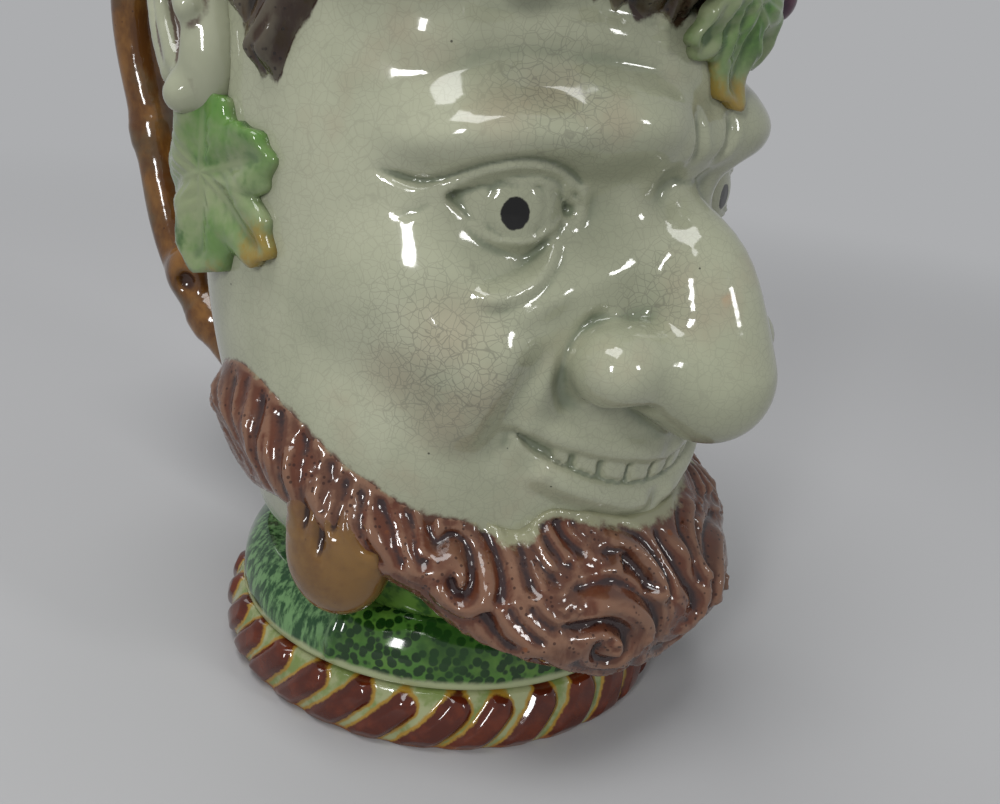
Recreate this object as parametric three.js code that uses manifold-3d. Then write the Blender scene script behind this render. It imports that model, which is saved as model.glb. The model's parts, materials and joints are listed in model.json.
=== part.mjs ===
import * as THREE from "three";
import { mergeVertices } from "three/addons/utils/BufferGeometryUtils.js";
import Module from "manifold-3d";

const wasm = await Module();
wasm.setup();

// A drinking mug in the shape of the wine god's head, press-moulded in pieces and luted together.
// Millimetres, +Z up. The face looks along -Y, the handle stands out along +Y, and the foot is on z = 0.
// Turns round the mug are in degrees from the middle of the face, positive toward +X.

const gap = 0.3; // glaze line between neighbouring pieces
const seat = 0.45; // the same under a pad, with a little more for the facets
const overrun = 2; // how far a cutting body runs past what it cuts

const fullTurn = 360;
const halfTurn = 180;

// How finely the round pieces are divided: columns round them and rows up them.
const grid = {
  faceTurn: 68, // the finer columns of the face end here
  faceColumns: 34, sideColumns: 10, backColumns: 30, latheColumns: 36,
  chinRows: 3, mouthRows: 6, faceRows: 17, foreheadRows: 3, backRows: 12, hollowRows: 10,
  bedColumns: 40, bedRows: 20, socleRows: 5,
};

const foot = {
  radius: 37,
  taper: 2.4, // how much narrower it is at its shoulder
  wall: 10,
  height: 9,
  bead: 1.2, // height of the small rolls above and below the gadroons
  gadroonOut: 1.3,
  gadroons: 31,
  steps: 4, // columns for each gadroon
  leanShare: 0.42, // lean of a gadroon from bottom to top, of its pitch
  fullShare: 0.78, // width of a gadroon, of its pitch
};

const socle = {
  ledge: 1.2, // width of the band's shoulder left round it
  neckShare: 0.732, // radius at the neck, of the head's
  height: 9, // from the foot band up to the head
  lip: 1, // upright edge above the band
  floor: 4, // how far the plug rises inside the head
};

const head = {
  radius: 41, // at the sides, over the ears
  height: 100,
  wall: 4.6,
  seam: 4, // how far behind the axis the two moulds meet
  frontShare: 0.35, // where the outline of the front takes over from that of the sides
  frontRunShare: 1.2,
};
const footShoulder = foot.radius - foot.taper;
const footBore = foot.radius - foot.wall;
const socleEdge = footShoulder - socle.ledge;
const headBase = foot.height + socle.height + gap;
const headTop = headBase + head.height;

// Outlines of the bare head, as [share of its height, share of its side radius].
const frontShares = [
  [0, 0.735],
  [0.06, 0.79],
  [0.14, 0.865],
  [0.24, 0.895],
  [0.42, 0.905],
  [0.62, 0.89],
  [0.72, 0.86],
  [0.83, 0.815],
  [0.92, 0.825],
  [1, 0.88],
];
const sideShares = [
  [0, 0.735],
  [0.06, 0.775],
  [0.14, 0.84],
  [0.25, 0.92],
  [0.4, 0.98],
  [0.58, 1],
  [0.74, 0.995],
  [0.88, 0.95],
  [1, 0.88],
];

const rim = {
  height: 8,
  wall: 4.2,
  flare: 1.6,
  rollShare: 0.6, // height of the rolled lip, of the rim
  rollTurns: [-90, -55, -20, 20, 55, 90],
};

// Distances across the face are measured round this radius, and heights from the head's lower edge.
const faceRadius = 38;

// Rounded swellings and hollows: half-widths and half-heights, and how far they stand out.
const forehead = { across: 0, up: 80, wide: 22, tall: 10, out: 1 };
const brow = { across: 14, up: 71, wide: 16, tall: 7.5, out: 4.4 };
const frown = { across: 0, up: 69, wide: 8, tall: 6, out: 1.6 };
// How far the eye and its folds lie below the brow, and the root of the nose below the frown.
const below = { browEnd: 3.5, eye: 11.6, upperLid: 6.4, lowerLid: 16.4, eyeBag: 21.6, noseRoot: 3.8 };
const browEnd = { across: 32, up: brow.up - below.browEnd, wide: 16, tall: 7, out: 3.6 };
const socket = { across: 25, up: brow.up - below.eye, wide: 15, tall: 9.5, out: -4.2 };
const eyeball = { across: 26.5, up: brow.up - below.eye, wide: 9.5, tall: 6.5, out: 4 };
const cheekbone = { across: 38, up: 51, wide: 19, tall: 14, out: 2.4 };
const cheek = { across: 29, up: 41, wide: 14, tall: 12, out: 3.4 };
const jaw = { across: 47, up: 24, wide: 24, tall: 18, out: 2 };
const nostril = { across: 14.6, up: 42.5, wide: 7.6, tall: 8.2, out: 6.2 };
const muzzle = { across: 0, up: 26, wide: 22, tall: 12, out: 1.4 };
const chin = { across: 0, up: 14, wide: 17, tall: 9, out: 2.4 };
const swellings = [
  forehead, brow, browEnd, frown, socket, eyeball, cheekbone, cheek, jaw, nostril, muzzle, chin,
];

// Curved ridges and grooves: half-length, half-thickness, and how far the ends rise above the middle.
const upperLid = {
  across: 26.5, up: brow.up - below.upperLid, half: 12, rise: -5.6, thickness: 2.2, out: 1.9,
};
const lowerLid = {
  across: 26.5, up: brow.up - below.lowerLid, half: 11.5, rise: 4.4, thickness: 1.9, out: 1.3,
};
const eyeBag = { across: 27, up: brow.up - below.eyeBag, half: 14, rise: 6.5, thickness: 2.2, out: 1.3 };
const mouthSlot = { across: 0, up: 24.8, half: 25.5, rise: 9, thickness: 3.1, out: -3.6 };
const upperLip = { across: 0, up: 29.2, half: 25, rise: 8.4, thickness: 2.5, out: 1.5 };
const lowerLip = { across: 0, up: 20.2, half: 22, rise: 10, thickness: 2.8, out: 2.3 };
const folds = [upperLid, lowerLid, eyeBag, mouthSlot, upperLip, lowerLip];

// Folds that run down the face: here rise is how far the ends lie out from the middle.
const smileFold = { across: 31, up: 31, half: 15, rise: -8, thickness: 4.2, out: 2.2 };
const creaseRise = 2; // from the middle of the frown up to the middle of its creases
const frownCrease = {
  across: 4.2, up: frown.up + creaseRise, half: 6, rise: 2.2, thickness: 2, out: -1.5,
};
const uprightFolds = [smileFold, frownCrease];

// The nose, as [share of its height, how far out as a share of its depth, half-width as a share].
const nose = { bottom: 28.6, top: frown.up - below.noseRoot, out: 14, halfWidth: 12.6 };
const noseShares = [
  [0, 0, 0.6],
  [0.06, 0.52, 0.8],
  [0.15, 0.9, 0.98],
  [0.3, 1, 1],
  [0.48, 0.93, 0.8],
  [0.66, 0.68, 0.64],
  [0.84, 0.33, 0.58],
  [1, 0, 0.58],
];

const teeth = {
  count: 10,
  pitch: 3.1,
  width: 2.7,
  height: 3.6,
  depth: 3.2,
  sides: 6,
};

// The beard's edges by turn, as [degrees, share of the head's height above its lower edge].
const beard = {
  turn: 121,
  depth: 8.6, // at the corners of the chin
  edge: 0.9, // where it meets the skin
  shoulder: 8, // how far below its upper edge it is full
  frontTurn: 26, // its front profile holds as far as this, and its sides are round from the next
  sideTurn: 56,
  strands: 32,
  strandDepth: 1.7,
  leanTurn: 8, // how far a strand leans forward on its way down
  leanRun: 40, // the strands at the chin hang straight, and lean fully from this turn on
  toeShare: 0.6, // thickness at the lower edge
  rows: 5,
};
const beardTopShares = [
  [0, 0.163], [12, 0.178], [20, 0.193], [29, 0.195], [33, 0.171], [37, 0.173], [46, 0.197], [59, 0.222],
  [71, 0.265], [79, 0.3], [94, 0.339], [104, 0.335], [113, 0.302], [121, 0.247],
];
const beardLowShares = [
  [0, -0.051], [14, -0.055], [25, -0.035], [36, 0.02], [46, 0.065], [54, 0.11], [66, 0.157], [75, 0.173],
  [84, 0.169], [100, 0.147], [110, 0.167], [121, 0.217],
];
// Thickness of its sides by turn, and radius of its front by height, of the head's own.
const beardDepthShares = [
  [0, 0.93], [24, 1], [40, 0.86], [52, 0.65], [66, 0.51], [80, 0.44], [100, 0.38], [115, 0.3], [121, 0.05],
];
const beardFrontShares = [
  [-0.073, 0.988], [-0.043, 1.059], [-0.003, 1.105], [0.047, 1.127], [0.097, 1.107], [0.137, 1.049],
  [0.172, 0.966], [0.197, 0.902],
];

// Curls of the beard, each a round tress wound into a flat spiral on it:
// [degrees, share of the head's height, share of the full radius].
const curl = {
  radius: 5.2, thickness: 1.7, coilTurns: 1.3, steps: 11, sides: 5,
  sunkShare: 0.35, // how far its middle lies below the beard, of its thickness
  innerShare: 0.22, // radius of the spiral where it ends
  thinShare: 0.6, // thickness of the tress there
};
const curlShares = [
  [45.5, 0.134, 0.72], [18, 0.045, 1.05], [10.5, 0.115, 0.8],
];

const tanLock = {
  turn: 70, halfWidth: 7.4, drop: 12.6, out: 5.2, edge: 1.2, columns: 10, rows: 6,
  fullShare: 1.5, // how quickly it rounds off above and below
  lowShare: 0.9,
};

// The hair, as its lower edge by turn: [degrees, share of the head's height below its top].
const hair = {
  cover: 3.4, // thickness of its locks
  edge: 1,
  edgeShare: 0.29, // how soon above its lower edge it is full
  lock: 1.3, // depth of the hollows between locks
  locks: 18, // round the whole head
  wave: 20, // length of a wave along a lock
  swayTurn: 6, // how far a wave leans, in degrees
  partTurn: 104, // where the front and back moulds of the hair meet
  frontColumns: 46,
  backColumns: 38,
  rows: 3,
};
const hairDropShares = [
  [0, 0.15], [12, 0.169], [24, 0.165], [36, 0.138], [60, 0.153], [74, 0.165], [79, 0.2], [84, 0.29],
  [90, 0.265], [96, 0.225], [101, 0.2], [116, 0.143], [130, 0.363], [144, 0.583], [160, 0.658], [180, 0.678],
];

const ear = {
  turn: 113, up: 76, height: 23, width: 14, thickness: 8, lean: 12,
  shell: 2.2, // thickness of the ear's rolled edge
  bowlShare: 0.8, // how far out its hollow is set, of its thickness
  sides: 11,
};

const leaf = {
  length: 23, width: 24,
  edge: 0.9, // thickness of its rim
  fleshHeight: 1.2, // how far the flesh between two veins stands above them
  tipHeight: 0.7, // how far the points of its lobes turn up
  points: 24,
  lobeTurn: 34, // half the width of a lobe, seen from the middle
  veinTurn: 20,
  baseShare: 0.6, // what the cuts between the lobes leave
  innerShare: 0.62, // where the flesh stands highest
};
const lobeShares = [
  [0, 1], [58, 0.94], [118, 0.78],
];
// Leaves of the wreath, and last the large one under each ear: turn and lean in degrees, then the share of
// the head's height, of the leaf's length and of its width.
const leafShares = {
  left: [
    [-30, 8, 0.947, 0.78, 0.8], [-68, 14, 0.942, 0.96, 0.96], [-104, -12, 0.957, 0.87, 0.92],
    [-148, 10, 0.93, 1, 1], [-101, 55, 0.587, 1.3, 1.12],
  ],
  right: [
    [6, -4, 0.862, 1.09, 1.1], [68, -14, 0.942, 0.96, 0.96], [104, 12, 0.957, 0.87, 0.92],
    [148, -10, 0.93, 1, 1], [101, -55, 0.587, 1.3, 1.12],
  ],
};

const grape = {
  radius: 3.5, sides: 6, stacks: 4, tipDrop: 5.2, spread: 5.2,
  raisedShare: 0.55, // how far a berry stands out of its bed
};
// Bunches: [turn, share of the head's height, rows of berries].
const bunchShares = [
  [-15, 0.975, 2], [49, 0.975, 3], [127, 0.955, 3],
];

const handle = {
  width: 23,
  thickness: 9,
  reach: 91, // from the mug's axis to the middle of the grip
  top: 96, // height of its highest point above the head's lower edge
  foot: 10, // height of its lower end
  steps: 26,
  sides: 10,
  knot: 1.5, // how far its knots swell
  knots: 3,
  lowShare: 0.8, // width at its lower end
};
const handleShares = [
  // [share of its reach, share of its height] from the upper root to the lower one
  [0.4, 0.93], [0.62, 0.98], [0.86, 0.96], [0.99, 0.8], [0.98, 0.66], [0.94, 0.5], [0.86, 0.31],
  [0.74, 0.15], [0.6, 0.04], [0.36, -0.02],
];

// A cut stub of the branch: its outline is [share of its radius, share of its length].
const stub = {
  radius: 4.4, mouth: 2.5, length: 3.4, deep: 2.4, sides: 12,
  placeShare: 0.72, // how far along the handle
  asideShare: 0.86, // how far to the side, of half the handle's width
};
const stubShares = [
  [0, -1], [1, -1], [1.05, 0], [0.88, 0.75], [0.72, 1],
];

const degree = Math.PI / 180;
const half = 1 / 2;

// A smooth hill, 1 in the middle and 0 from distance 1 on.
const hill = (t) => (t < 1 ? (1 - t * t) ** 2 : 0);

// A smooth curve through [place, value] pairs, level beyond its ends.
function curveThrough(pairs, column = 1) {
  const last = pairs.length - 1;
  const slopes = pairs.map((_, i) => {
    const a = pairs[Math.max(i - 1, 0)];
    const b = pairs[Math.min(i + 1, last)];
    return (b[column] - a[column]) / (b[0] - a[0]);
  });
  return (x) => {
    if (x <= pairs[0][0]) return pairs[0][column];
    if (x >= pairs[last][0]) return pairs[last][column];
    const i = pairs.findIndex((p) => p[0] > x) - 1;
    const run = pairs[i + 1][0] - pairs[i][0];
    const t = (x - pairs[i][0]) / run;
    const s = 1 - t;
    const from = s * s * (1 + 2 * t) * pairs[i][column] + s * s * t * run * slopes[i];
    return from + t * t * (3 - 2 * t) * pairs[i + 1][column] - t * t * s * run * slopes[i + 1];
  };
}

const blend = (a, b, t) => a + (b - a) * t;
const ramp = (t) => {
  const s = Math.min(Math.max(t, 0), 1);
  return s * s * (3 - 2 * s);
};

const frontOutline = curveThrough(frontShares);
const sideOutline = curveThrough(sideShares);
const noseOut = curveThrough(noseShares, 1);
const noseWidth = curveThrough(noseShares, 2);

// Radius of the plain head, without its features. Turn in degrees, z in millimetres.
function bareRadius(turn, z) {
  const up = (z - headBase) / head.height;
  const front = ramp((Math.cos(turn * degree) + head.frontShare) / head.frontRunShare);
  return head.radius * blend(sideOutline(up), frontOutline(up), front);
}

function noseAt(across, up) {
  const share = (up - nose.bottom) / (nose.top - nose.bottom);
  if (share <= 0 || share >= 1) return 0;
  const width = nose.halfWidth * noseWidth(share);
  return nose.out * noseOut(share) * hill(Math.abs(across) / width) ** half;
}

function ridge(r, along, off) {
  const t = along / r.half;
  return Math.abs(t) < 1 ? r.out * hill(Math.abs(off - r.rise * t * t) / r.thickness) * (1 - t ** 4) : 0;
}

// Degrees from the middle of the face, on either side.
const aside = (turn) => Math.abs(((turn + fullTurn + halfTurn) % fullTurn) - halfTurn);

// Radius of the head with its face.
function headRadius(turn, z) {
  const across = aside(turn) * degree * faceRadius;
  const up = z - headBase;
  let out = noseAt(across, up);
  for (const s of swellings) {
    out += s.out * hill(Math.hypot((across - s.across) / s.wide, (up - s.up) / s.tall));
  }
  for (const f of folds) out += ridge(f, across - f.across, up - f.up);
  for (const f of uprightFolds) out += ridge(f, up - f.up, across - f.across);
  return bareRadius(aside(turn), z) + out;
}

const at = (turn, z, r) =>
  new THREE.Vector3(r * Math.sin(turn * degree), -r * Math.cos(turn * degree), z);

// Closes a row of equal rings into one body. Seen from where the row goes, a ring runs anticlockwise.
function loftRings(rings, endless = false) {
  const points = rings.flat();
  const n = rings[0].length;
  const index = [];
  const joins = endless ? rings.length : rings.length - 1;
  for (let i = 0; i < joins; i++) {
    const a = i * n;
    const b = ((i + 1) % rings.length) * n;
    for (let j = 0; j < n; j++) {
      const k = (j + 1) % n;
      index.push(a + j, a + k, b + k, a + j, b + k, b + j);
    }
  }
  if (!endless) {
    const ends = [0, rings.length - 1];
    ends.forEach((r, side) => {
      const middle = points.length;
      points.push(rings[r].reduce((sum, p) => sum.add(p), new THREE.Vector3()).divideScalar(n));
      for (let j = 0; j < n; j++) {
        const k = (j + 1) % n;
        if (side) index.push(middle, r * n + j, r * n + k);
        else index.push(middle, r * n + k, r * n + j);
      }
    });
  }
  return new THREE.BufferGeometry().setFromPoints(points).setIndex(index);
}

// Joining and cutting is done on closed solids.
function solidOf(geometry) {
  const plain = geometry.clone();
  plain.deleteAttribute("normal");
  plain.deleteAttribute("uv");
  const merged = mergeVertices(plain);
  return new wasm.Manifold(
    new wasm.Mesh({
      numProp: 3,
      vertProperties: new Float32Array(merged.attributes.position.array),
      triVerts: new Uint32Array(merged.index.array),
    }),
  );
}

function geometryOf(solid) {
  const mesh = solid.getMesh();
  return new THREE.BufferGeometry()
    .setAttribute("position", new THREE.BufferAttribute(new Float32Array(mesh.vertProperties), 3))
    .setIndex(new THREE.BufferAttribute(new Uint32Array(mesh.triVerts), 1));
}

// A body round the mug's axis from the radius at each turn and height.
const roundBody = (turns, heights, radius) =>
  solidOf(loftRings(heights.map((z) => turns.map((turn) => at(turn, z, radius(turn, z))))));

// A pad on the head from one turn to another, between two edges and two radii. Its columns may lean.
function pad({ from, to, columns, rows, low, high, inner, outer, lean = () => 0 }) {
  const rings = [];
  for (let i = 0; i <= columns; i++) {
    const turn = blend(from, to, i / columns);
    const lowTurn = turn - lean(turn);
    const bottom = low(lowTurn);
    const top = Math.max(high(turn), bottom + gap);
    const ring = [];
    for (let j = rows; j >= 0; j--) {
      const share = j / rows;
      const t = blend(lowTurn, turn, share);
      const z = blend(bottom, top, share);
      ring.push(at(t, z, outer(t, z, share, i / columns)));
    }
    for (let j = 0; j <= rows; j++) {
      const t = blend(lowTurn, turn, j / rows);
      const z = blend(bottom, top, j / rows);
      ring.push(at(t, z, inner(t, z)));
    }
    rings.push(ring);
  }
  return loftRings(rings);
}

const box = (from, to) =>
  new THREE.BoxGeometry(to.x - from.x, to.y - from.y, to.z - from.z).translate(
    (from.x + to.x) * half,
    (from.y + to.y) * half,
    (from.z + to.z) * half,
  );

// Steps from one value to another, with a finer stretch between.
function steps(values) {
  const out = [];
  for (let i = 0; i + 1 < values.length; i++) {
    const [a, count] = values[i];
    const b = values[i + 1][0];
    for (let j = 0; j < count; j++) out.push(blend(a, b, j / count));
  }
  out.push(values[values.length - 1][0]);
  return out;
}

const mug = new THREE.Group();

function add(name, geometry, color, roughness = 0.25) {
  const material = new THREE.MeshStandardMaterial({ color, roughness, metalness: 0 });
  const mesh = new THREE.Mesh(geometry, material);
  mesh.name = name;
  mug.add(mesh);
}

const skin = "#b4b79f";
const manganese = "#6b4036";
const tan = "#9a7148";
const leafGreen = "#5f8f3c";
const sponge = "#4c7f34";
const chestnut = "#4a1c12";
const ochre = "#96602c";
const plum = "#3c2233";

// Foot band: a ring with leaning gadroons between two small rolls.
function footBand() {
  const columns = foot.gadroons * foot.steps;
  const middle = foot.height * half;
  const heights = [0, foot.bead, (foot.bead + middle) * half, middle];
  heights.push(foot.height - foot.bead * 2, foot.height);
  const rings = [];
  for (let i = 0; i < columns; i++) {
    const turn = (fullTurn * i) / columns;
    const ring = [];
    for (const z of [...heights].reverse()) {
      const share = z / foot.height;
      const cell = i / foot.steps - foot.leanShare * (share - half);
      const off = Math.abs(cell - Math.round(cell)) * 2;
      const swell = hill(off / foot.fullShare) ** half * hill(Math.abs(share * 2 - 1)) ** half;
      const plain = blend(foot.radius, footShoulder, share ** 2) - foot.gadroonOut * half;
      const roll = z <= 0 || z >= foot.height ? foot.gadroonOut * half : 0;
      ring.push(at(turn, z, plain + roll + foot.gadroonOut * swell));
    }
    ring.push(at(turn, 0, footBore));
    ring.push(at(turn, foot.height, footBore));
    rings.push(ring);
  }
  return loftRings(rings, true);
}

// Socle: a shallow dome with a hollow curve up to the neck, and a plug that carries the head.
const plugRadius = head.radius * sideShares[0][1] - head.wall - gap;
const socleTop = foot.height + socle.height;

function socleRadius(z) {
  const t = Math.min(Math.max((z - foot.height - socle.lip) / (socle.height - socle.lip), 0), 1);
  return blend(socleEdge, head.radius * socle.neckShare, 1 - (1 - t) ** 2);
}

function socleBody() {
  const curve = Array.from({ length: grid.socleRows + 1 }, (_, i) => {
    const z = blend(foot.height + gap + socle.lip, socleTop, i / grid.socleRows);
    return new THREE.Vector2(socleRadius(z), z);
  });
  const profile = [
    new THREE.Vector2(0, 0),
    new THREE.Vector2(footBore - gap, 0),
    new THREE.Vector2(footBore - gap, foot.height + gap),
    new THREE.Vector2(socleEdge - gap, foot.height + gap),
    ...curve,
    new THREE.Vector2(plugRadius, socleTop),
    new THREE.Vector2(plugRadius, socleTop + socle.floor),
    new THREE.Vector2(0, socleTop + socle.floor),
  ];
  return new THREE.LatheGeometry(profile, grid.latheColumns).rotateX(Math.PI * half);
}

// Head: the outer skin with its face, hollowed along the plain outline and parted at the seam.
const faceTurns = steps([
  [-halfTurn, grid.sideColumns], [-grid.faceTurn, grid.faceColumns], [grid.faceTurn, grid.sideColumns],
  [halfTurn, 1],
]).slice(0, -1);
const faceHeights = steps([
  [headBase, grid.chinRows], [headBase + mouthSlot.up - 2 * mouthSlot.thickness, grid.mouthRows],
  [headBase + nose.bottom, grid.faceRows], [headBase + brow.up + brow.tall, grid.foreheadRows], [headTop, 1],
]);
const backTurns = steps([[-halfTurn, grid.backColumns], [halfTurn, 1]]).slice(0, -1);
const backHeights = steps([[headBase, grid.backRows], [headTop, 1]]);

function headHalves() {
  const hollow = roundBody(
    backTurns,
    steps([[headBase - overrun, grid.hollowRows], [headTop + overrun, 1]]),
    (turn, z) => bareRadius(Math.abs(turn), Math.min(Math.max(z, headBase), headTop)) - head.wall,
  );
  const reach = head.radius + nose.out + overrun;
  const low = headBase - overrun;
  const high = headTop + overrun;
  const front = solidOf(
    box(new THREE.Vector3(-reach, -reach, low), new THREE.Vector3(reach, head.seam - gap * half, high)),
  );
  const back = solidOf(
    box(new THREE.Vector3(-reach, head.seam + gap * half, low), new THREE.Vector3(reach, reach, high)),
  );
  const face = roundBody(faceTurns, faceHeights, headRadius).subtract(hollow).intersect(front);
  const nape = roundBody(backTurns, backHeights, headRadius).subtract(hollow).intersect(back);
  return [face.add(teethRow()), nape];
}

// Teeth: flattened beads set along the grin, half sunk in the floor of the slot.
function teethRow() {
  let row = null;
  for (let i = 0; i < teeth.count; i++) {
    const across = (i - (teeth.count - 1) * half) * teeth.pitch;
    const turn = across / faceRadius / degree;
    const share = across / mouthSlot.half;
    const z = headBase + mouthSlot.up + mouthSlot.rise * share * share;
    const tooth = new THREE.SphereGeometry(half, teeth.sides, teeth.sides * half)
      .scale(teeth.width, teeth.depth, teeth.height)
      .rotateZ(turn * degree)
      .translate(...at(turn, z, headRadius(turn, z)).toArray());
    row = row ? row.add(solidOf(tooth)) : solidOf(tooth);
  }
  return row;
}

// Rim: a flared ring with a rolled lip.
function rimBand() {
  const inner = head.radius * frontShares[frontShares.length - 1][1] - head.wall;
  const outer = inner + head.wall - gap;
  const bottom = headTop + gap;
  const top = bottom + rim.height;
  const roll = rim.height * rim.rollShare * half;
  const lip = outer + rim.flare;
  const profile = [
    new THREE.Vector2(inner, bottom),
    new THREE.Vector2(outer, bottom),
    new THREE.Vector2(outer, top - roll * 2 - gap),
  ];
  for (const turn of rim.rollTurns) {
    const across = roll * Math.cos(turn * degree);
    profile.push(new THREE.Vector2(lip - roll + across, top - roll + roll * Math.sin(turn * degree)));
  }
  profile.push(new THREE.Vector2(lip - rim.wall, top));
  profile.push(new THREE.Vector2(inner, top - roll * 2));
  profile.push(profile[0].clone());
  return new THREE.LatheGeometry(profile, grid.latheColumns).rotateX(Math.PI * half);
}

const beardTop = curveThrough(beardTopShares);
const beardLow = curveThrough(beardLowShares);
const beardDepth = curveThrough(beardDepthShares);
const beardFront = curveThrough(beardFrontShares);
const heightOf = (share) => headBase + head.height * share;

// What the beard lies on: the skin, and the socle below the chin.
const beardBed = (turn, z) =>
  Math.max(z < headBase ? socleRadius(z) : 0, headRadius(turn, Math.max(z, headBase))) + seat;

// Radius of the beard over its strands. It is full in front and grows thinner along the jaw.
function beardRadius(turn, z) {
  const off = Math.abs(turn);
  const skin = beardBed(turn, z) + beard.edge;
  const full = ramp((heightOf(beardTop(off)) - z) / beard.shoulder);
  const side = skin + beard.depth * beardDepth(off) * full;
  const front = Math.max(head.radius * beardFront((z - headBase) / head.height), skin);
  return blend(side, front, ramp((beard.sideTurn - off) / (beard.sideTurn - beard.frontTurn)));
}

// A curl: a round tress wound into a flat spiral on the beard.
function curlBody(turn, share, size, side) {
  const centre = heightOf(share);
  const radius = beardRadius(turn, centre);
  const spot = (t) => {
    const angle = side * (Math.PI + 2 * Math.PI * curl.coilTurns * t);
    const far = curl.radius * size * blend(1, curl.innerShare, t);
    const z = centre + far * Math.sin(angle) * side;
    const round = turn + (far * Math.cos(angle)) / radius / degree;
    return at(round, z, beardRadius(round, z) - curl.thickness * size * curl.sunkShare);
  };
  const rings = [];
  for (let i = 0; i <= curl.steps; i++) {
    const t = i / curl.steps;
    const middle = spot(t);
    const ahead = spot(t + half / curl.steps).sub(spot(t - half / curl.steps)).normalize();
    const out = at(turn, 0, 1);
    const across = out.clone().cross(ahead).normalize();
    const thick = curl.thickness * size * blend(1, curl.thinShare, t);
    const ring = [];
    for (let j = 0; j < curl.sides; j++) {
      const a = (2 * Math.PI * j) / curl.sides;
      const point = middle.clone().addScaledVector(across, thick * Math.cos(a));
      ring.push(point.addScaledVector(out, thick * Math.sin(a)));
    }
    rings.push(ring);
  }
  return solidOf(loftRings(rings));
}

function beardBody() {
  const body = pad({
    from: -beard.turn,
    to: beard.turn,
    columns: 2 * beard.strands,
    rows: beard.rows,
    low: (turn) => heightOf(beardLow(Math.abs(turn))),
    high: (turn) => heightOf(beardTop(Math.abs(turn))),
    inner: beardBed,
    lean: (turn) => Math.sign(turn) * beard.leanTurn * Math.min(Math.abs(turn) / beard.leanRun, 1),
    outer: (turn, z, share, along) => {
      const skin = beardBed(turn, z) + beard.edge;
      const strand = beard.strandDepth * (half - half * Math.cos(2 * Math.PI * beard.strands * along));
      const toe = blend(beard.toeShare, 1, ramp(share * beard.rows));
      const end = along <= 0 || along >= 1 || share >= 1 ? 0 : 1;
      return skin + Math.max(beardRadius(turn, z) - skin - strand, 0) * toe * end;
    },
  });
  const curls = curlShares.flatMap(([turn, share, size]) => [
    curlBody(-turn, share, size, -1),
    curlBody(turn, share, size, 1),
  ]);
  return geometryOf(curls.reduce((all, one) => all.add(one), solidOf(body)));
}

// Tan lock: a smooth rounded pouch of hair hanging at each corner of the jaw.
function lockBody(side) {
  const reach = tanLock.halfWidth / faceRadius / degree;
  const share = (turn) => (turn - side * tanLock.turn) / reach;
  const high = (turn) => heightOf(beardLow(Math.abs(turn))) - gap;
  const under = (turn, z) => headRadius(turn, Math.max(z, headBase)) + seat;
  const round = (turn) => Math.sqrt(Math.max(1 - share(turn) ** 2, 0));
  const belly = (up) => Math.sqrt(Math.max(1 - (tanLock.fullShare * up - tanLock.lowShare) ** 2, 0));
  return pad({
    from: side * tanLock.turn - reach,
    to: side * tanLock.turn + reach,
    columns: tanLock.columns,
    rows: tanLock.rows,
    low: (turn) => high(turn) - gap - tanLock.drop * round(turn),
    high,
    inner: under,
    outer: (turn, z, up) => under(turn, z) + tanLock.edge + tanLock.out * round(turn) * belly(up),
  });
}

const hairDrop = curveThrough(hairDropShares);
const hairLine = (turn) => headTop - head.height * hairDrop(aside(turn));

function hairBody(from, to, columns) {
  const under = (turn, z) => headRadius(turn, z) + seat;
  return pad({
    from,
    to,
    columns,
    rows: hair.rows,
    low: hairLine,
    high: () => headTop - gap,
    inner: under,
    outer: (turn, z, share) => {
      const sway = hair.swayTurn * Math.sin((z / hair.wave) * Math.PI);
      const wave = Math.cos((turn + sway) * degree * hair.locks);
      const body = hair.cover - hair.lock * (half - half * wave);
      return under(turn, z) + blend(hair.edge, body, ramp(share / hair.edgeShare));
    },
  });
}

// The surface that leaves, grapes and ears are set on: the head, or its hair where it has any.
function wreathRadius(turn, z) {
  const over = ramp((z - hairLine(turn) + 3 * hair.cover) / (2 * hair.cover));
  return headRadius(turn, Math.min(z, headTop)) + (hair.cover + seat) * over + seat;
}

// Reach of a leaf's outline at an angle from its tip, in degrees.
function lobeReach(angle) {
  const reaches = lobeShares.map(([middle, size]) => {
    const off = Math.min(Math.abs(angle - middle) / leaf.lobeTurn, 1);
    return blend(size, leaf.baseShare, off ** (3 * half));
  });
  return Math.max(...reaches);
}

// A vine leaf bent over the head: five lobes with turned-up points, and the flesh puffed up between the
// veins. Grown, it is the body that its neighbours are cut by.
function leafBody(turn, lean, share, long, wide, grow = 0) {
  const centre = heightOf(share);
  const radius = wreathRadius(turn, centre);
  const c = Math.cos(lean * degree);
  const s = Math.sin(lean * degree);
  const ring = (size, flesh, lift) => {
    const points = [];
    for (let i = 0; i < leaf.points; i++) {
      const angle = (fullTurn * i) / leaf.points;
      const off = aside(angle);
      const nearest = Math.min(...lobeShares.map(([middle]) => Math.abs(off - middle)));
      const reach = (size * lobeReach(off) + (2 * grow) / leaf.width) * half;
      const across = leaf.width * wide * reach * Math.sin(angle * degree);
      const up = -leaf.length * long * reach * Math.cos(angle * degree);
      const t = turn + (across * c - up * s) / radius / degree;
      const z = centre + across * s + up * c;
      const vein = ramp(1 - nearest / leaf.veinTurn);
      const bulge = blend(leaf.fleshHeight * flesh, leaf.tipHeight * (1 - flesh), vein);
      const rise = lift > 0 ? lift + bulge + grow : -2 * grow;
      points.push(at(t, z, wreathRadius(t, z) + rise));
    }
    return points;
  };
  const under = [ring(half, 0, 0), ring(1, 0, 0)];
  return loftRings([...under, ring(1, 0, leaf.edge), ring(leaf.innerShare, 1, leaf.edge)]);
}

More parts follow.
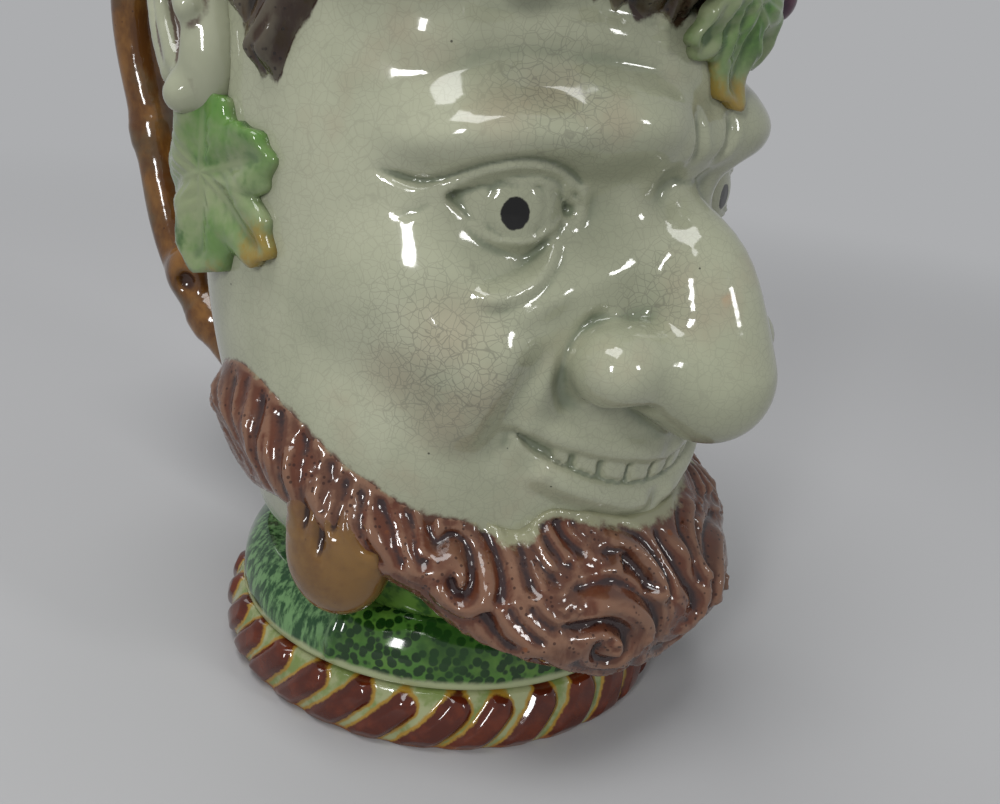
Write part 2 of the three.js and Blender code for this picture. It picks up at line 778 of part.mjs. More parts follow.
// A bunch of grapes: rows of berries that narrow downward, bedded on the wreath.
function bunchBody(turn, share, rows, cutters) {
  const berries = [];
  for (let row = 0; row < rows; row++) {
    const count = rows - row;
    for (let i = 0; i < count; i++) {
      const across = (i - (count - 1) * half) * grape.spread;
      const z = heightOf(share) - row * grape.tipDrop;
      const t = turn + across / head.radius / degree;
      const lift = wreathRadius(t, z) + grape.radius * grape.raisedShare;
      const berry = new THREE.SphereGeometry(grape.radius, grape.sides, grape.stacks);
      berries.push(solidOf(berry.translate(...at(t, z, lift).toArray())));
    }
  }
  const bunch = berries.reduce((all, one) => all.add(one));
  return geometryOf(cutters.reduce((rest, cutter) => rest.subtract(cutter), bunch));
}

// An ear: a long rounded shell, hollowed in front and leaning back.
function earBody(side, cutters) {
  const sphere = (grow, out) =>
    solidOf(
      new THREE.SphereGeometry(half, ear.sides, ear.sides - 2)
        .scale(ear.width + grow, ear.thickness * 2 + grow, ear.height + grow)
        .rotateX(Math.PI)
        .translate(0, -out, 0)
        .rotateY(side * ear.lean * degree)
        .translate(...at(0, headBase + ear.up, head.radius).toArray())
        .rotateZ(side * ear.turn * degree),
    );
  const bowl = sphere(-2 * ear.shell, ear.thickness * ear.bowlShare);
  return geometryOf(cutters.reduce((rest, cutter) => rest.subtract(cutter), sphere(0, 0).subtract(bowl)));
}

// Handle: a rustic branch of flat round section, swelling at its knots.
function handlePath() {
  const points = handleShares.map(
    ([out, up]) =>
      new THREE.Vector3(0, handle.reach * out, blend(headBase + handle.foot, headBase + handle.top, up)),
  );
  return new THREE.CatmullRomCurve3(points, false, "centripetal");
}

function handleRings(grow) {
  const path = handlePath();
  const across = new THREE.Vector3(1, 0, 0);
  const rings = [];
  for (let i = 0; i <= handle.steps; i++) {
    const t = i / handle.steps;
    const middle = path.getPointAt(t);
    const out = path.getTangentAt(t).cross(across);
    const knot = handle.knot * Math.max(Math.cos(2 * Math.PI * handle.knots * t), 0) ** 3;
    const wide = handle.width * blend(1, handle.lowShare, t) * half + knot + grow;
    const thick = handle.thickness * half + knot * half + grow;
    const ring = [];
    for (let j = 0; j < handle.sides; j++) {
      const a = (2 * Math.PI * j) / handle.sides;
      ring.push(
        middle
          .clone()
          .addScaledVector(across, wide * Math.cos(a))
          .addScaledVector(out, thick * Math.sin(a)),
      );
    }
    rings.push(ring);
  }
  return rings;
}

// A cut stub of the branch, hollow at its end, on the side of the handle.
function stubBody() {
  const middle = handlePath().getPointAt(stub.placeShare);
  const profile = stubShares.map(
    ([out, along]) => new THREE.Vector2(stub.radius * out, stub.length * along),
  );
  profile.push(
    new THREE.Vector2(stub.mouth, stub.length),
    new THREE.Vector2(stub.mouth * half, stub.length - stub.deep),
    new THREE.Vector2(0, stub.length - stub.deep),
  );
  const body = new THREE.LatheGeometry(profile, stub.sides)
    .rotateZ(Math.PI * half)
    .translate(-handle.width * half * stub.asideShare, middle.y, middle.z);
  return geometryOf(solidOf(body).subtract(solidOf(loftRings(handleRings(gap)))));
}

// The wreath's bed, as a body that the pieces set on it are cut by.
const bed = roundBody(
  steps([[-halfTurn, grid.bedColumns], [halfTurn, 1]]).slice(0, -1),
  steps([[headBase, grid.bedRows], [headTop + overrun, 1]]),
  (turn, z) => wreathRadius(turn, z) + gap * half,
);
const leafCutters = Object.values(leafShares).flatMap((places) =>
  places.map((place) => solidOf(leafBody(...place, gap))),
);
const cutters = [bed, ...leafCutters];

const [faceHalf, backHalf] = headHalves();
add("foot_band", footBand(), chestnut);
add("socle", socleBody(), sponge);
add("head_front", geometryOf(faceHalf), skin);
add("head_back", geometryOf(backHalf), skin);
add("rim_lip", rimBand(), skin);
add("beard", beardBody(), manganese);
const parting = gap / head.radius / degree;
add("hair_front", hairBody(-hair.partTurn, hair.partTurn, hair.frontColumns), manganese);
const backFrom = hair.partTurn + parting;
add("hair_back", hairBody(backFrom, fullTurn - backFrom, hair.backColumns), manganese);
for (const [side, word] of [[-1, "left"], [1, "right"]]) {
  add(`tan_lock_${word}`, lockBody(side), tan);
  add(`ear_${word}`, earBody(side, cutters), skin);
  leafShares[word].forEach((place, i) => {
    add(`vine_leaf_${word}_${i + 1}`, leafBody(...place), leafGreen);
  });
  bunchShares.slice(1).forEach(([turn, share, rows], i) => {
    add(`grapes_${word}_${i + 1}`, bunchBody(side * turn, share, rows, cutters), plum);
  });
}
add("grapes_front", bunchBody(...bunchShares[0], cutters), plum);
add("handle", geometryOf(solidOf(loftRings(handleRings(0))).subtract(bed)), ochre);
add("handle_stub", stubBody(), ochre);

export default mug;
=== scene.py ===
import json
import math
import bpy
import numpy as np
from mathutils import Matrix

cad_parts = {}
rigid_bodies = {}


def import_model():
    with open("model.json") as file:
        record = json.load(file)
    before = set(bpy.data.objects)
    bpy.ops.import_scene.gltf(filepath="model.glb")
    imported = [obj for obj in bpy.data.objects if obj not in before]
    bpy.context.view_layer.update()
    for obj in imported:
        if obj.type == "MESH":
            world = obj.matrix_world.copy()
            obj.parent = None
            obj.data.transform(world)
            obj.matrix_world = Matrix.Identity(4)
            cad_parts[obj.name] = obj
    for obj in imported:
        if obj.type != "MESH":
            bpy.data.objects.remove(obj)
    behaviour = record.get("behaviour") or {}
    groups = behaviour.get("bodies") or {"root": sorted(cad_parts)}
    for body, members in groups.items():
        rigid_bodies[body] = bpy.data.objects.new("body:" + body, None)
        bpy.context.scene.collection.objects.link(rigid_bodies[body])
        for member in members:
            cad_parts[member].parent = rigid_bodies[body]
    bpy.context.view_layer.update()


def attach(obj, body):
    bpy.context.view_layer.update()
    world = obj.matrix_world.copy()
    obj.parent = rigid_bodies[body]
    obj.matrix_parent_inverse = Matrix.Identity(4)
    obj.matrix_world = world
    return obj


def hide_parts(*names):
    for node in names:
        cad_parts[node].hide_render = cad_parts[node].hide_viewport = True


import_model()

import openvdb as vdb
from mathutils import Matrix, Vector

# The mug is sculpted in millimetres, Z up, face towards -Y. A place on the head is a
# turn about the Z axis in degrees (0 at the nose, minus on the -X side) and a height.
# Most pieces are distance fields on one shared lattice, which are then skinned.
metres = 0.001
step = 0.5  # lattice spacing
turnStep = 0.4  # degrees between the columns of a table
scene = bpy.context.scene
scene.view_settings.view_transform = "Standard"

shot = {
    # where the camera stands, which ways it is turned, and its lens and film in mm
    "place": (-0.11385, -0.10251, 0.09918),
    "right": (0.66795, -0.73613, 0.10934),
    "up": (0.1956, 0.3154, 0.92858),
    "back": (-0.71805, -0.59886, 0.35466),
    "lens": 36.0,
    "film": 36.0,
}
cameraData = bpy.data.cameras.new("camera")
cameraData.lens = shot["lens"]
cameraData.sensor_width = shot["film"]
cameraData.clip_start = 0.01
camera = bpy.data.objects.new("camera", cameraData)
scene.collection.objects.link(camera)
turned = Matrix((shot["right"], shot["up"], shot["back"])).transposed().to_4x4()
turned.translation = Vector(shot["place"])
camera.matrix_world = turned
scene.camera = camera

lamps = {
    # places in metres, watts, sides in metres
    "windowLamp": {"place": (-0.687, -0.25, 0.36), "power": 2.6, "size": (0.09, 0.24)},
    "sideLamp": {"place": (0.093, -0.662, 0.40), "power": 0.9, "size": (0.1, 0.14)},
    "ceilingLamp": {"place": (-0.28, -0.02, 0.95), "power": 5.2, "size": (0.5, 0.5)},
    "backLamp": {"place": (0.2, 0.5, 0.6), "power": 1.2, "size": (0.4, 0.4)},
}
for name, lamp in lamps.items():
    data = bpy.data.lights.new(name, "AREA")
    data.shape = "RECTANGLE"
    data.size, data.size_y = lamp["size"]
    data.energy = lamp["power"]
    holder = bpy.data.objects.new(name, data)
    scene.collection.objects.link(holder)
    holder.location = lamp["place"]
    aim = Vector((0, 0, 0.06)) - Vector(lamp["place"])  # at the middle of the mug
    holder.rotation_euler = aim.to_track_quat("-Z", "Y").to_euler()


def linearColour(text):
    # an sRGB hex colour as linear red, green and blue
    parts = [int(text[i : i + 2], 16) / 255 for i in (1, 3, 5)]
    return tuple(c / 12.92 if c <= 0.04045 else ((c + 0.055) / 1.055) ** 2.4 for c in parts) + (1.0,)


def soft(t):
    # rises smoothly from 0 to 1
    t = np.clip(t, 0, 1)
    return t * t * (3 - 2 * t)


def hill(t):
    # 1 at the middle, rounded off to 0 at 1 to both sides
    return (1 - np.clip(np.abs(t), 0, 1) ** 2) ** 2


def curve(pairs, x):
    # a smooth line through (place, value) pairs, flat beyond its ends
    p = np.array(pairs, float)
    slope = np.gradient(p[:, 1], p[:, 0])
    x = np.clip(x, p[0, 0], p[-1, 0])
    i = np.clip(np.searchsorted(p[:, 0], x) - 1, 0, len(p) - 2)
    gap = p[i + 1, 0] - p[i, 0]
    t = (x - p[i, 0]) / gap
    ends = (1 + 2 * t) * (1 - t) ** 2 * p[i, 1] + t * t * (3 - 2 * t) * p[i + 1, 1]
    return ends + gap * (t * (1 - t) ** 2 * slope[i] + t * t * (t - 1) * slope[i + 1])


def smoothLine(points, fine=5):
    # more points on a smooth line through the given ones
    p = np.array(points, float)
    if len(p) < 3:
        s = np.linspace(0, 1, fine + 1)[:, None]
        return p[0] * (1 - s) + p[-1] * s
    s = np.linspace(0, len(p) - 1, (len(p) - 1) * fine + 1)
    at = np.arange(len(p))
    return np.stack([curve(np.stack([at, p[:, k]], 1), s) for k in range(p.shape[1])], 1)


def noise(turn, height, size, seed):
    # a slow wavy unevenness, about -1 to 1, the same on every run
    dice = np.random.default_rng(seed)
    total = 0
    for k in range(6):
        n = dice.integers(1, 4 + int(120 / size))
        w = dice.uniform(0.4, 1.6) * 2 * math.pi / size
        total = total + np.sin(np.radians(turn) * n + height * w * 0.6 + dice.uniform(0, 6.28))
    return total / 6**0.5


# Radius from the Z axis for each turn and height. Folds and locks are raised or cut in it.
perDegree = 38 * math.pi / 180  # mm along the face for a degree
turns = np.arange(-180, 180 + turnStep / 2, turnStep)
heights = np.arange(round(-3 / step), round(131 / step)) * step
turnGrid, heightGrid = np.meshgrid(turns, heights, indexing="ij")

head = {
    "radius": 41,
    "base": 18.3,
    "top": 118.3,
    "wall": 4.6,
    "thinnest": 2.2,  # the wall under the deepest folds
    "floor": 22.9,  # of the cup
    # shares of the radius at each height
    "front": [(18.3, 0.735), (24.3, 0.79), (32.3, 0.865), (42.3, 0.895), (60.3, 0.905),
              (80.3, 0.89), (90.3, 0.86), (101.3, 0.815), (110.3, 0.825), (118.3, 0.88)],
    "side": [(18.3, 0.735), (24.3, 0.775), (32.3, 0.84), (43.3, 0.92), (58.3, 0.98),
             (76.3, 1), (92.3, 0.995), (106.3, 0.95), (118.3, 0.88)],
    # turn, height, half width in degrees, half height, how far out
    "swells": [(0, 98.3, 33, 10, 1.0), (21, 89.6, 24, 7.5, 4.4), (48.3, 87.0, 24, 7.5, 3.8),
               (0, 87.3, 12, 6, 1.6), (38, 77.3, 22.6, 9.5, -4.4), (57.3, 66.5, 29, 13, 2.4),
               (46, 58.5, 21, 12, 3.2), (71, 42.3, 36, 18, 2.0), (0, 45.5, 33, 11, 1.6), (21, 79, 12, 8, -3.0),
               (0, 32.3, 26, 9, 2.4), (60, 97.5, 14, 5, 1.0), (30, 99.0, 15, 5, 0.8),
               (0, 80.8, 15, 6.5, -3.0), (9, 80.2, 9, 6, -1.6)],
    "neckIn": 1.6,  # how far the neck draws in at the sides above the socle
    "uneven": 0.22,  # pressed clay is never quite even
}
frontShare = soft((np.cos(np.radians(turnGrid)) + 0.35) / 1.2)  # 1 in front, 0 behind
bareHead = head["radius"] * (
    curve(head["side"], heightGrid) * (1 - frontShare) + curve(head["front"], heightGrid) * frontShare
)
headTable = bareHead + head["uneven"] * noise(turnGrid, heightGrid, 30, 3)
headTable -= head["neckIn"] * soft((26 - heightGrid) / 6) * (1 - frontShare)


def mirrored(turn):
    # the sides that a swelling is on: both, unless it is in the middle
    return (1, -1) if turn else (1,)


for turn, height, wide, tall, out in head["swells"]:
    for side in mirrored(turn):
        headTable += out * hill(np.hypot((turnGrid - side * turn) / wide, (heightGrid - height) / tall))


def nearLine(line, reach):
    # the part of the table around a line, with each cell's distance to it in mm and share along it
    a, z = line[:, 0] * perDegree, line[:, 1]
    i = slice(*np.searchsorted(turns * perDegree, (a.min() - reach, a.max() + reach)))
    j = slice(*np.searchsorted(heights, (z.min() - reach, z.max() + reach)))
    across, up = turnGrid[i, j] * perDegree, heightGrid[i, j]
    far = np.full(across.shape, 4.0 * reach)
    along = np.zeros(across.shape)
    for n in range(len(line) - 1):
        da, dz = a[n + 1] - a[n], z[n + 1] - z[n]
        t = np.clip(((across - a[n]) * da + (up - z[n]) * dz) / (da * da + dz * dz + 1e-9), 0, 1)
        d = np.hypot(across - a[n] - t * da, up - z[n] - t * dz)
        closer = d < far
        far = np.where(closer, d, far)
        along = np.where(closer, (n + t) / (len(line) - 1), along)
    return i, j, far, along


def carve(table, points, half, out, tip=0.2, sides=(1, -1)):
    # raises a table along a line of (turn, height) points, or cuts it where out is below zero
    for side in sides:
        line = smoothLine(points) * (side, 1)
        i, j, far, along = nearLine(line, half)
        ends = soft(np.minimum(along, 1 - along) / tip) if tip else 1
        table[i, j] += out * hill(far / half) * ends


def furrow(lines, tip=0.15, sides=(1, -1)):
    # sharp valleys between rounded locks: how deep each place lies, and how far it is from a valley
    reach = 4.5
    deep, away = np.zeros_like(headTable), np.full(headTable.shape, 2 * reach)
    for points, half, out in lines:
        for side in sides:
            i, j, far, along = nearLine(smoothLine(points) * (side, 1), reach)
            ends = soft(np.minimum(along, 1 - along) / tip)
            deep[i, j] = np.minimum(deep[i, j], out * np.clip(1 - far / (1.6 * half), 0, 1) ** 2 * ends)
            away[i, j] = np.minimum(away[i, j], far + 3 * (1 - ends))
    return deep, away


eye = {
    "turn": 42.0, "height": 78.3, "centre": 27.4, "radius": 8.8,
    "lid": 0.6,  # thickness of the lids
    "wide": 0.66,  # the ball is flatter toward the temple
    "tilt": 0.55,  # the eye on the +X side faces more forward
    "corners": (29.2, 56),
    "iris": {"radius": 3.9, "up": 0.4, "line": 0.6, "deep": 0.3},
    "pupil": {"size": (1.55, 1.85), "deep": 0.12},
    "upper": [(29.5, 78.9), (32, 80.4), (36.3, 81.6), (41.5, 81.9), (46, 81.6), (52, 80.6), (56, 79.6)],
    "lower": [(29.5, 78.7), (32, 77.9), (34.6, 76.8), (38, 75.7), (41.5, 75.2), (45, 75.3),
              (47.5, 75.8), (51, 77), (53.5, 78.2), (56, 79.4)],
    "crease": [(26, 80.5), (29.5, 82.6), (33.3, 84), (37, 84.7), (41, 84.9), (44.5, 84.6), (48.6, 83.8),
               (52.6, 82.6), (56.3, 81.5), (60, 80.9), (64, 81.2), (70, 82)],
}
for side in (1, -1):
    turnHere = turnGrid * side
    across = (turnHere - eye["turn"]) * perDegree
    over = heightGrid - eye["height"]
    outward = np.where(across > 0, across * eye["wide"], across)
    ball = eye["centre"] + eye["tilt"] * np.minimum(across, 4) * (side > 0)
    ball = ball + np.sqrt(np.maximum(eye["radius"] ** 2 - outward**2 - over**2, 0))
    near = np.hypot(outward, over) < eye["radius"]
    ball = np.where(near, ball, 0)
    upper, lower, crease = (curve(eye[name], turnHere) for name in ("upper", "lower", "crease"))
    inner, outer = eye["corners"]
    span = soft((turnHere - inner) / 1.6) * soft((outer - turnHere) / 1.6)
    opened = span * soft((heightGrid - lower + 0.25) / 0.6) * soft((upper - heightGrid + 0.25) / 0.6)
    # the lids lie on the ball, up to the crease and a little past the corners
    lids = soft((crease - heightGrid) / 0.8) * soft((turnHere - inner + 2.2) / 3) * soft((outer + 2 - turnHere) / 4)
    lids = lids * soft((heightGrid - lower + 4) / 3.8)
    lifted = np.maximum(headTable, ball + eye["lid"])
    headTable = headTable + (lifted - headTable) * lids * near
    headTable = np.where(near, headTable * (1 - opened) + ball * opened, headTable)
    iris, pupil = eye["iris"], eye["pupil"]
    ring = np.hypot(across, over - iris["up"]) - iris["radius"]
    headTable -= iris["deep"] * hill(ring / iris["line"]) * opened
    inPupil = 1 - np.hypot(across / pupil["size"][0], over / pupil["size"][1])
    headTable -= pupil["deep"] * soft(inPupil * 3) * opened

face = [
    # line of (turn, height) points, half width, how far out, share of the line in which it fades
    (eye["crease"], 0.85, -1.15, 0.12),
    # outer end of the brow, and crow's foot
    ([(28, 86.8), (34, 88.2), (42, 88.8), (50, 88), (57, 86), (64, 84.6), (72, 84)], 3.8, 0.9, 0.25),
    ([(56.5, 79.4), (60, 77.6), (65, 76.6)], 1.0, -0.35, 0.4),
    # tear duct and the fold round it
    ([(28.4, 78.2), (29.6, 78.5), (30.8, 78.7)], 1.2, -1.3, 0.1),
    ([(28.6, 80.6), (29.8, 80.5)], 0.8, -0.5, 0.1),
    ([(29.6, 81.6), (27.4, 80.9), (26.3, 79.4), (26.8, 77.6), (29.4, 76.4)], 1.0, 0.5, 0.3),
    # bag under the eye
    ([(53, 75.6), (48, 73.2), (42, 72.4), (36, 73.4), (32, 75.6)], 2.4, -0.35, 0.3),
    ([(49.5, 69.8), (46, 68.9), (42.2, 69.2), (38.5, 70.2), (35.6, 71.8), (33.3, 74), (31.6, 77)], 1.7, 1.1, 0.2),
    ([(50, 71.6), (46, 70.9), (42.4, 71.2), (38, 72.4), (35, 74.4), (33.4, 76.6)], 1.5, -0.5, 0.25),
    ([(43.5, 66.6), (38.5, 67.0), (33, 68.6), (29, 71.6)], 2.2, 0.4, 0.3),
    # round the nose's wing
    ([(19.3, 66.4), (23.4, 65.7), (26.8, 63.6), (28.9, 60.7), (29.4, 57.6), (27.5, 55.0), (22.4, 53.2)],
     2.2, -1.2, 0.2),
    # frown, root of the nose and forehead
    ([(3.2, 84.5), (5.2, 88), (6.6, 92.5)], 1.7, -0.9, 0.3),
    ([(-7, 83.4), (0, 82.6), (7, 83.4)], 1.0, -0.55, 0.3),
    ([(-6, 80.9), (0, 80.2), (6, 80.9)], 0.9, -0.4, 0.3),
    ([(6, 93), (18, 95.2), (34, 96.6), (48, 95.8), (62, 93.6)], 2.2, -0.7, 0.2),
    ([(0, 99.8), (14, 100.6), (28, 101.6), (44, 101), (60, 99.6)], 2.0, -0.45, 0.2),
    # smile folds
    ([(33.2, 64.4), (35.6, 61.4), (38.8, 56), (40.6, 52.4), (41.6, 48), (40, 43.5)], 3.2, -0.9, 0.3),
    ([(38.5, 66.5), (42, 62), (46, 56), (48, 51), (48, 46)], 5.0, 1.1, 0.3),
    ([(56, 68.4), (49, 65.4), (44, 61), (42, 57)], 2.4, -0.4, 0.35),
    # corners of the mouth and lips
    ([(39.5, 52.4), (38.6, 50.2), (39.4, 47.5)], 1.5, -0.5, 0.4),
    ([(38, 52.6), (29.4, 50.6), (21.4, 49.2), (11, 47.7), (0, 46.6)], 2.2, 0.55, 0.1),
    ([(0, 38.9), (11, 39.5), (19, 41.2), (27, 43.6), (34, 46.2)], 2.7, 1.15, 0.12),
    ([(0, 35.6), (12, 36.2), (22, 38)], 2.4, -0.7, 0.3),
    ([(0, 52), (0, 48.6)], 1.8, -0.6, 0.3),
]
for points, half, out, tip in face:
    symmetric = abs(points[0][0] + points[-1][0]) < 0.1
    carve(headTable, points, half, out, tip, (1,) if symmetric else (1, -1))

mouth = {
    "upper": [(-38, 51.9), (-33.7, 50.5), (-29.4, 49.1), (-21.4, 47.6), (-11, 46.1), (0, 45.1),
              (11, 46.1), (21.4, 47.6), (29.4, 49.1), (33.7, 50.5), (38, 51.9)],
    "lower": [(-38, 50.9), (-33.7, 48.3), (-29.4, 46.8), (-24, 45.1), (-15, 42.8), (-8, 41.7), (0, 41.3),
              (8, 41.7), (15, 42.8), (24, 45.1), (29.4, 46.8), (33.7, 48.3), (38, 50.9)],
    "corner": 38.6,
    "slots": (3.4, 10.4, 17.4, 23.8, 28.6),  # turns of the gaps between the teeth
    "lastTooth": 30.5,
    "deep": 1.45,
    "teeth": 1.05,  # how far they stand up from the depth
    "gum": 0.7,  # share of the teeth's height
}
upperLip, lowerLip = curve(mouth["upper"], turnGrid), curve(mouth["lower"], turnGrid)
inside = soft((upperLip - heightGrid + 0.35) / 0.9) * soft((heightGrid - lowerLip + 0.35) / 0.9)
inside = inside * soft((mouth["corner"] - np.abs(turnGrid)) / 1.8)
tooth = np.ones_like(turnGrid)
for slot in mouth["slots"]:
    for side in (1, -1):
        lean = side * slot + (heightGrid - 45) * 0.25 * side
        tooth = np.minimum(tooth, soft((np.abs(turnGrid - lean) * perDegree - 0.15) / 0.65))
tooth = tooth * soft((heightGrid - lowerLip - 0.1) / 0.9) * soft((mouth["lastTooth"] - np.abs(turnGrid)) / 1.6)
gum = soft((heightGrid - upperLip + 0.9) / 0.3)
headTable -= inside * (mouth["deep"] - mouth["teeth"] * np.maximum(tooth, gum * mouth["gum"]))
print("the head's table is made")


def makeBlock(low, high):
    # lattice cells between two corners in mm
    first = [math.floor(c / step) for c in low]
    last = [math.ceil(c / step) for c in high]
    return {"first": first, "axes": [np.arange(a, b + 1, dtype=np.float32) * step for a, b in zip(first, last)]}


def emptyField(block):
    # a distance field with nothing near
    return np.full([len(axis) for axis in block["axes"]], 9.0, np.float32)


def onBlock(block, *tables):
    # the cells' distance from the Z axis, and the tables' values at each cell
    x, y, z = block["axes"]
    gx, gy = np.meshgrid(x, y, indexing="ij")
    column = (np.degrees(np.arctan2(gx, -gy)) + 180) / turnStep
    i = np.clip(np.floor(column).astype(int), 0, len(turns) - 2)
    f = (column - i)[..., None].astype(np.float32)
    k = int(round(z[0] / step)) - int(round(heights[0] / step))
    rows = np.clip(np.arange(k, k + len(z)), 0, len(heights) - 1)
    found = []
    for table in tables:
        t = table[:, rows].astype(np.float32)
        found.append(t[i] * (1 - f) + t[i + 1] * f)
    return [np.hypot(gx, gy)[..., None].astype(np.float32)] + found


def slopeOf(table):
    # how much shorter the way straight to the surface is than the way along the radius
    around = np.gradient(table, math.radians(turnStep), axis=0) / table
    return 1 / np.sqrt(1 + np.gradient(table, step, axis=1) ** 2 + around**2)


def underTable(block, table):
    # distance to the surface that a table gives, minus inside
    rho, radius, flat = onBlock(block, table, slopeOf(table))
    return (rho - radius) * np.maximum(flat, 0.3)


def smoothMin(a, b, k):
    # joins two fields with a fillet about k mm wide
    h = np.maximum(k - np.abs(a - b), 0) / k
    return np.minimum(a, b) - h * h * k * 0.25


def smoothMax(a, b, k):
    # what two fields share, with its edge rounded off
    return -smoothMin(-a, -b, k)


def keepOutside(block, field, table, k=0.4):
    # leaves only what stands out of the surface that a table gives
    rho, radius = onBlock(block, table)
    return smoothMax(field, radius - rho, k)


def window(block, low, high):
    # the cells of a block between two corners, and their x, y and z
    parts = [slice(*np.searchsorted(axis, (a, b))) for axis, a, b in zip(block["axes"], low, high)]
    grid = [axis[part] for axis, part in zip(block["axes"], parts)]
    return tuple(parts), grid[0][:, None, None], grid[1][None, :, None], grid[2][None, None, :]


def place(turn, height, radius):
    # a place round the Z axis as x, y and z
    a = math.radians(turn)
    return np.array((radius * math.sin(a), -radius * math.cos(a), height))


def frameAt(turn):
    # along the turn, out, up
    a = math.radians(turn)
    return np.array(((math.cos(a), math.sin(a), 0), (math.sin(a), -math.cos(a), 0), (0, 0, 1)))


def merge(field, part, d, k, cut):
    # adds a shape to part of a field, or cuts it out
    if not d.size:
        return
    field[part] = smoothMax(field[part], -d, k) if cut else smoothMin(field[part], d, k)


def addBall(block, field, centre, radii, k, axes=np.eye(3), cut=False):
    # an ellipsoid
    reach = max(radii) + k + 1
    part, x, y, z = window(block, centre - reach, centre + reach)
    local = [(x - centre[0]) * a[0] + (y - centre[1]) * a[1] + (z - centre[2]) * a[2] for a in axes]
    q = np.sqrt(sum((v / r) ** 2 for v, r in zip(local, radii))) + 1e-6
    slope = np.sqrt(sum((v / r**2) ** 2 for v, r in zip(local, radii))) + 1e-6
    merge(field, part, (q * (q - 1) / slope).astype(np.float32), k, cut)


def addRope(block, field, points, radii, k):
    # a round rope through points, whose radius changes along it
    p = np.array(points, float)
    r = np.array(radii, float) if np.ndim(radii) else np.full(len(p), float(radii))
    reach = r.max() + k + 1
    part, x, y, z = window(block, p.min(0) - reach, p.max(0) + reach)
    d = np.full((x.size, y.size, z.size), 9.0, np.float32)
    for n in range(len(p) - 1):
        mid = window(block, np.minimum(p[n], p[n + 1]) - reach, np.maximum(p[n], p[n + 1]) + reach)
        inner = tuple(slice(m.start - o.start, m.stop - o.start) for m, o in zip(mid[0], part))
        if any(s.stop <= s.start for s in inner):
            continue
        v = p[n + 1] - p[n]
        wx, wy, wz = mid[1] - p[n][0], mid[2] - p[n][1], mid[3] - p[n][2]
        t = np.clip((wx * v[0] + wy * v[1] + wz * v[2]) / (v @ v + 1e-9), 0, 1)
        far = np.sqrt((wx - t * v[0]) ** 2 + (wy - t * v[1]) ** 2 + (wz - t * v[2]) ** 2)
        d[inner] = np.minimum(d[inner], far - (r[n] + t * (r[n + 1] - r[n])))
    merge(field, part, d, k, False)


def skin(name, block, field):
    # one closed mesh on the field's zero
    limit = 3 * step
    grid = vdb.FloatGrid(limit)
    grid.copyFromArray(np.clip(field, -limit, limit).astype(np.float32))
    points, triangles, quads = grid.convertToPolygons(0.0, 0)
    points = (points + np.array(block["first"])) * step
    return meshPiece(name, points, [triangles.astype(np.int64), quads.astype(np.int64)])


def meshPiece(name, points, faceSets):
    # a mesh object from points in mm and lists of equal-sided faces, facing out
    faceSets = [f for f in faceSets if len(f)]
    volume = 0.0
    for faces in faceSets:
        for k in range(1, faces.shape[1] - 1):
            a, b, c = points[faces[:, 0]], points[faces[:, k]], points[faces[:, k + 1]]
            volume += (a * np.cross(b, c)).sum() / 6
    if volume < 0:
        faceSets = [f[:, ::-1] for f in faceSets]
    sizes = np.concatenate([np.full(len(f), f.shape[1]) for f in faceSets])
    corners = np.concatenate([f.ravel() for f in faceSets])
    mesh = bpy.data.meshes.new(name)
    mesh.vertices.add(len(points))
    mesh.vertices.foreach_set("co", (points * metres).astype(np.float32).ravel())
    mesh.loops.add(len(corners))
    mesh.loops.foreach_set("vertex_index", corners.astype(np.int32))
    mesh.polygons.add(len(sizes))
    mesh.polygons.foreach_set("loop_start", (np.cumsum(sizes) - sizes).astype(np.int32))
    mesh.polygons.foreach_set("use_smooth", np.ones(len(sizes), bool))
    mesh.update(calc_edges=True)
    mesh.validate()
    piece = bpy.data.objects.new(name, mesh)
    scene.collection.objects.link(piece)
    print(name, len(points), "points")
    return piece


def pointsOf(piece):
    # its points in mm
    co = np.empty(len(piece.data.vertices) * 3, np.float32)
    piece.data.vertices.foreach_get("co", co)
    return co.reshape(-1, 3) / metres


def paint(piece, name, values):
    # a number at each point of a piece, which its material reads
    attribute = piece.data.attributes.new(name, "FLOAT", "POINT")
    attribute.data.foreach_set("value", np.asarray(values, np.float32))


def tableAt(table, points):
    # a table's values at points anywhere round the axis
    turn = (np.degrees(np.arctan2(points[:, 0], -points[:, 1])) + 180) / turnStep
    up = (points[:, 2] - heights[0]) / step
    i, j = np.clip(turn.astype(int), 0, len(turns) - 2), np.clip(up.astype(int), 0, len(heights) - 2)
    f, g = turn - i, np.clip(up - j, 0, 1)
    low = table[i, j] * (1 - f) + table[i + 1, j] * f
    return low * (1 - g) + (table[i, j + 1] * (1 - f) + table[i + 1, j + 1] * f) * g


def radiusAt(table, turn, height):
    # a table's value at one turn and height
    return tableAt(table, np.array([place(turn, height, 40)]))[0]


def paintHollows(piece, rounds=7):
    # how far each point lies below its surroundings: glaze pools there and painted shade darkens it, and the glaze
    # thins on what stands up
    mesh = piece.data
    p = pointsOf(piece)
    n = len(p)
    pairs = np.empty(len(mesh.edges) * 2, np.int32)
    mesh.edges.foreach_get("vertices", pairs)
    a, b = pairs[::2], pairs[1::2]
    count = np.maximum(np.bincount(a, minlength=n) + np.bincount(b, minlength=n), 1)
    normals = np.empty(n * 3, np.float32)
    mesh.vertices.foreach_get("normal", normals)
    smooth = p.copy()
    for _ in range(rounds):
        smooth = np.stack([(np.bincount(a, smooth[b, k], n) + np.bincount(b, smooth[a, k], n)) / count
                           for k in range(3)], 1)
    paint(piece, "hollow", ((smooth - p) * normals.reshape(-1, 3)).sum(1))


headBlock = makeBlock((-49, -54, 15), (49, 47, 119.5))
headField = underTable(headBlock, headTable)

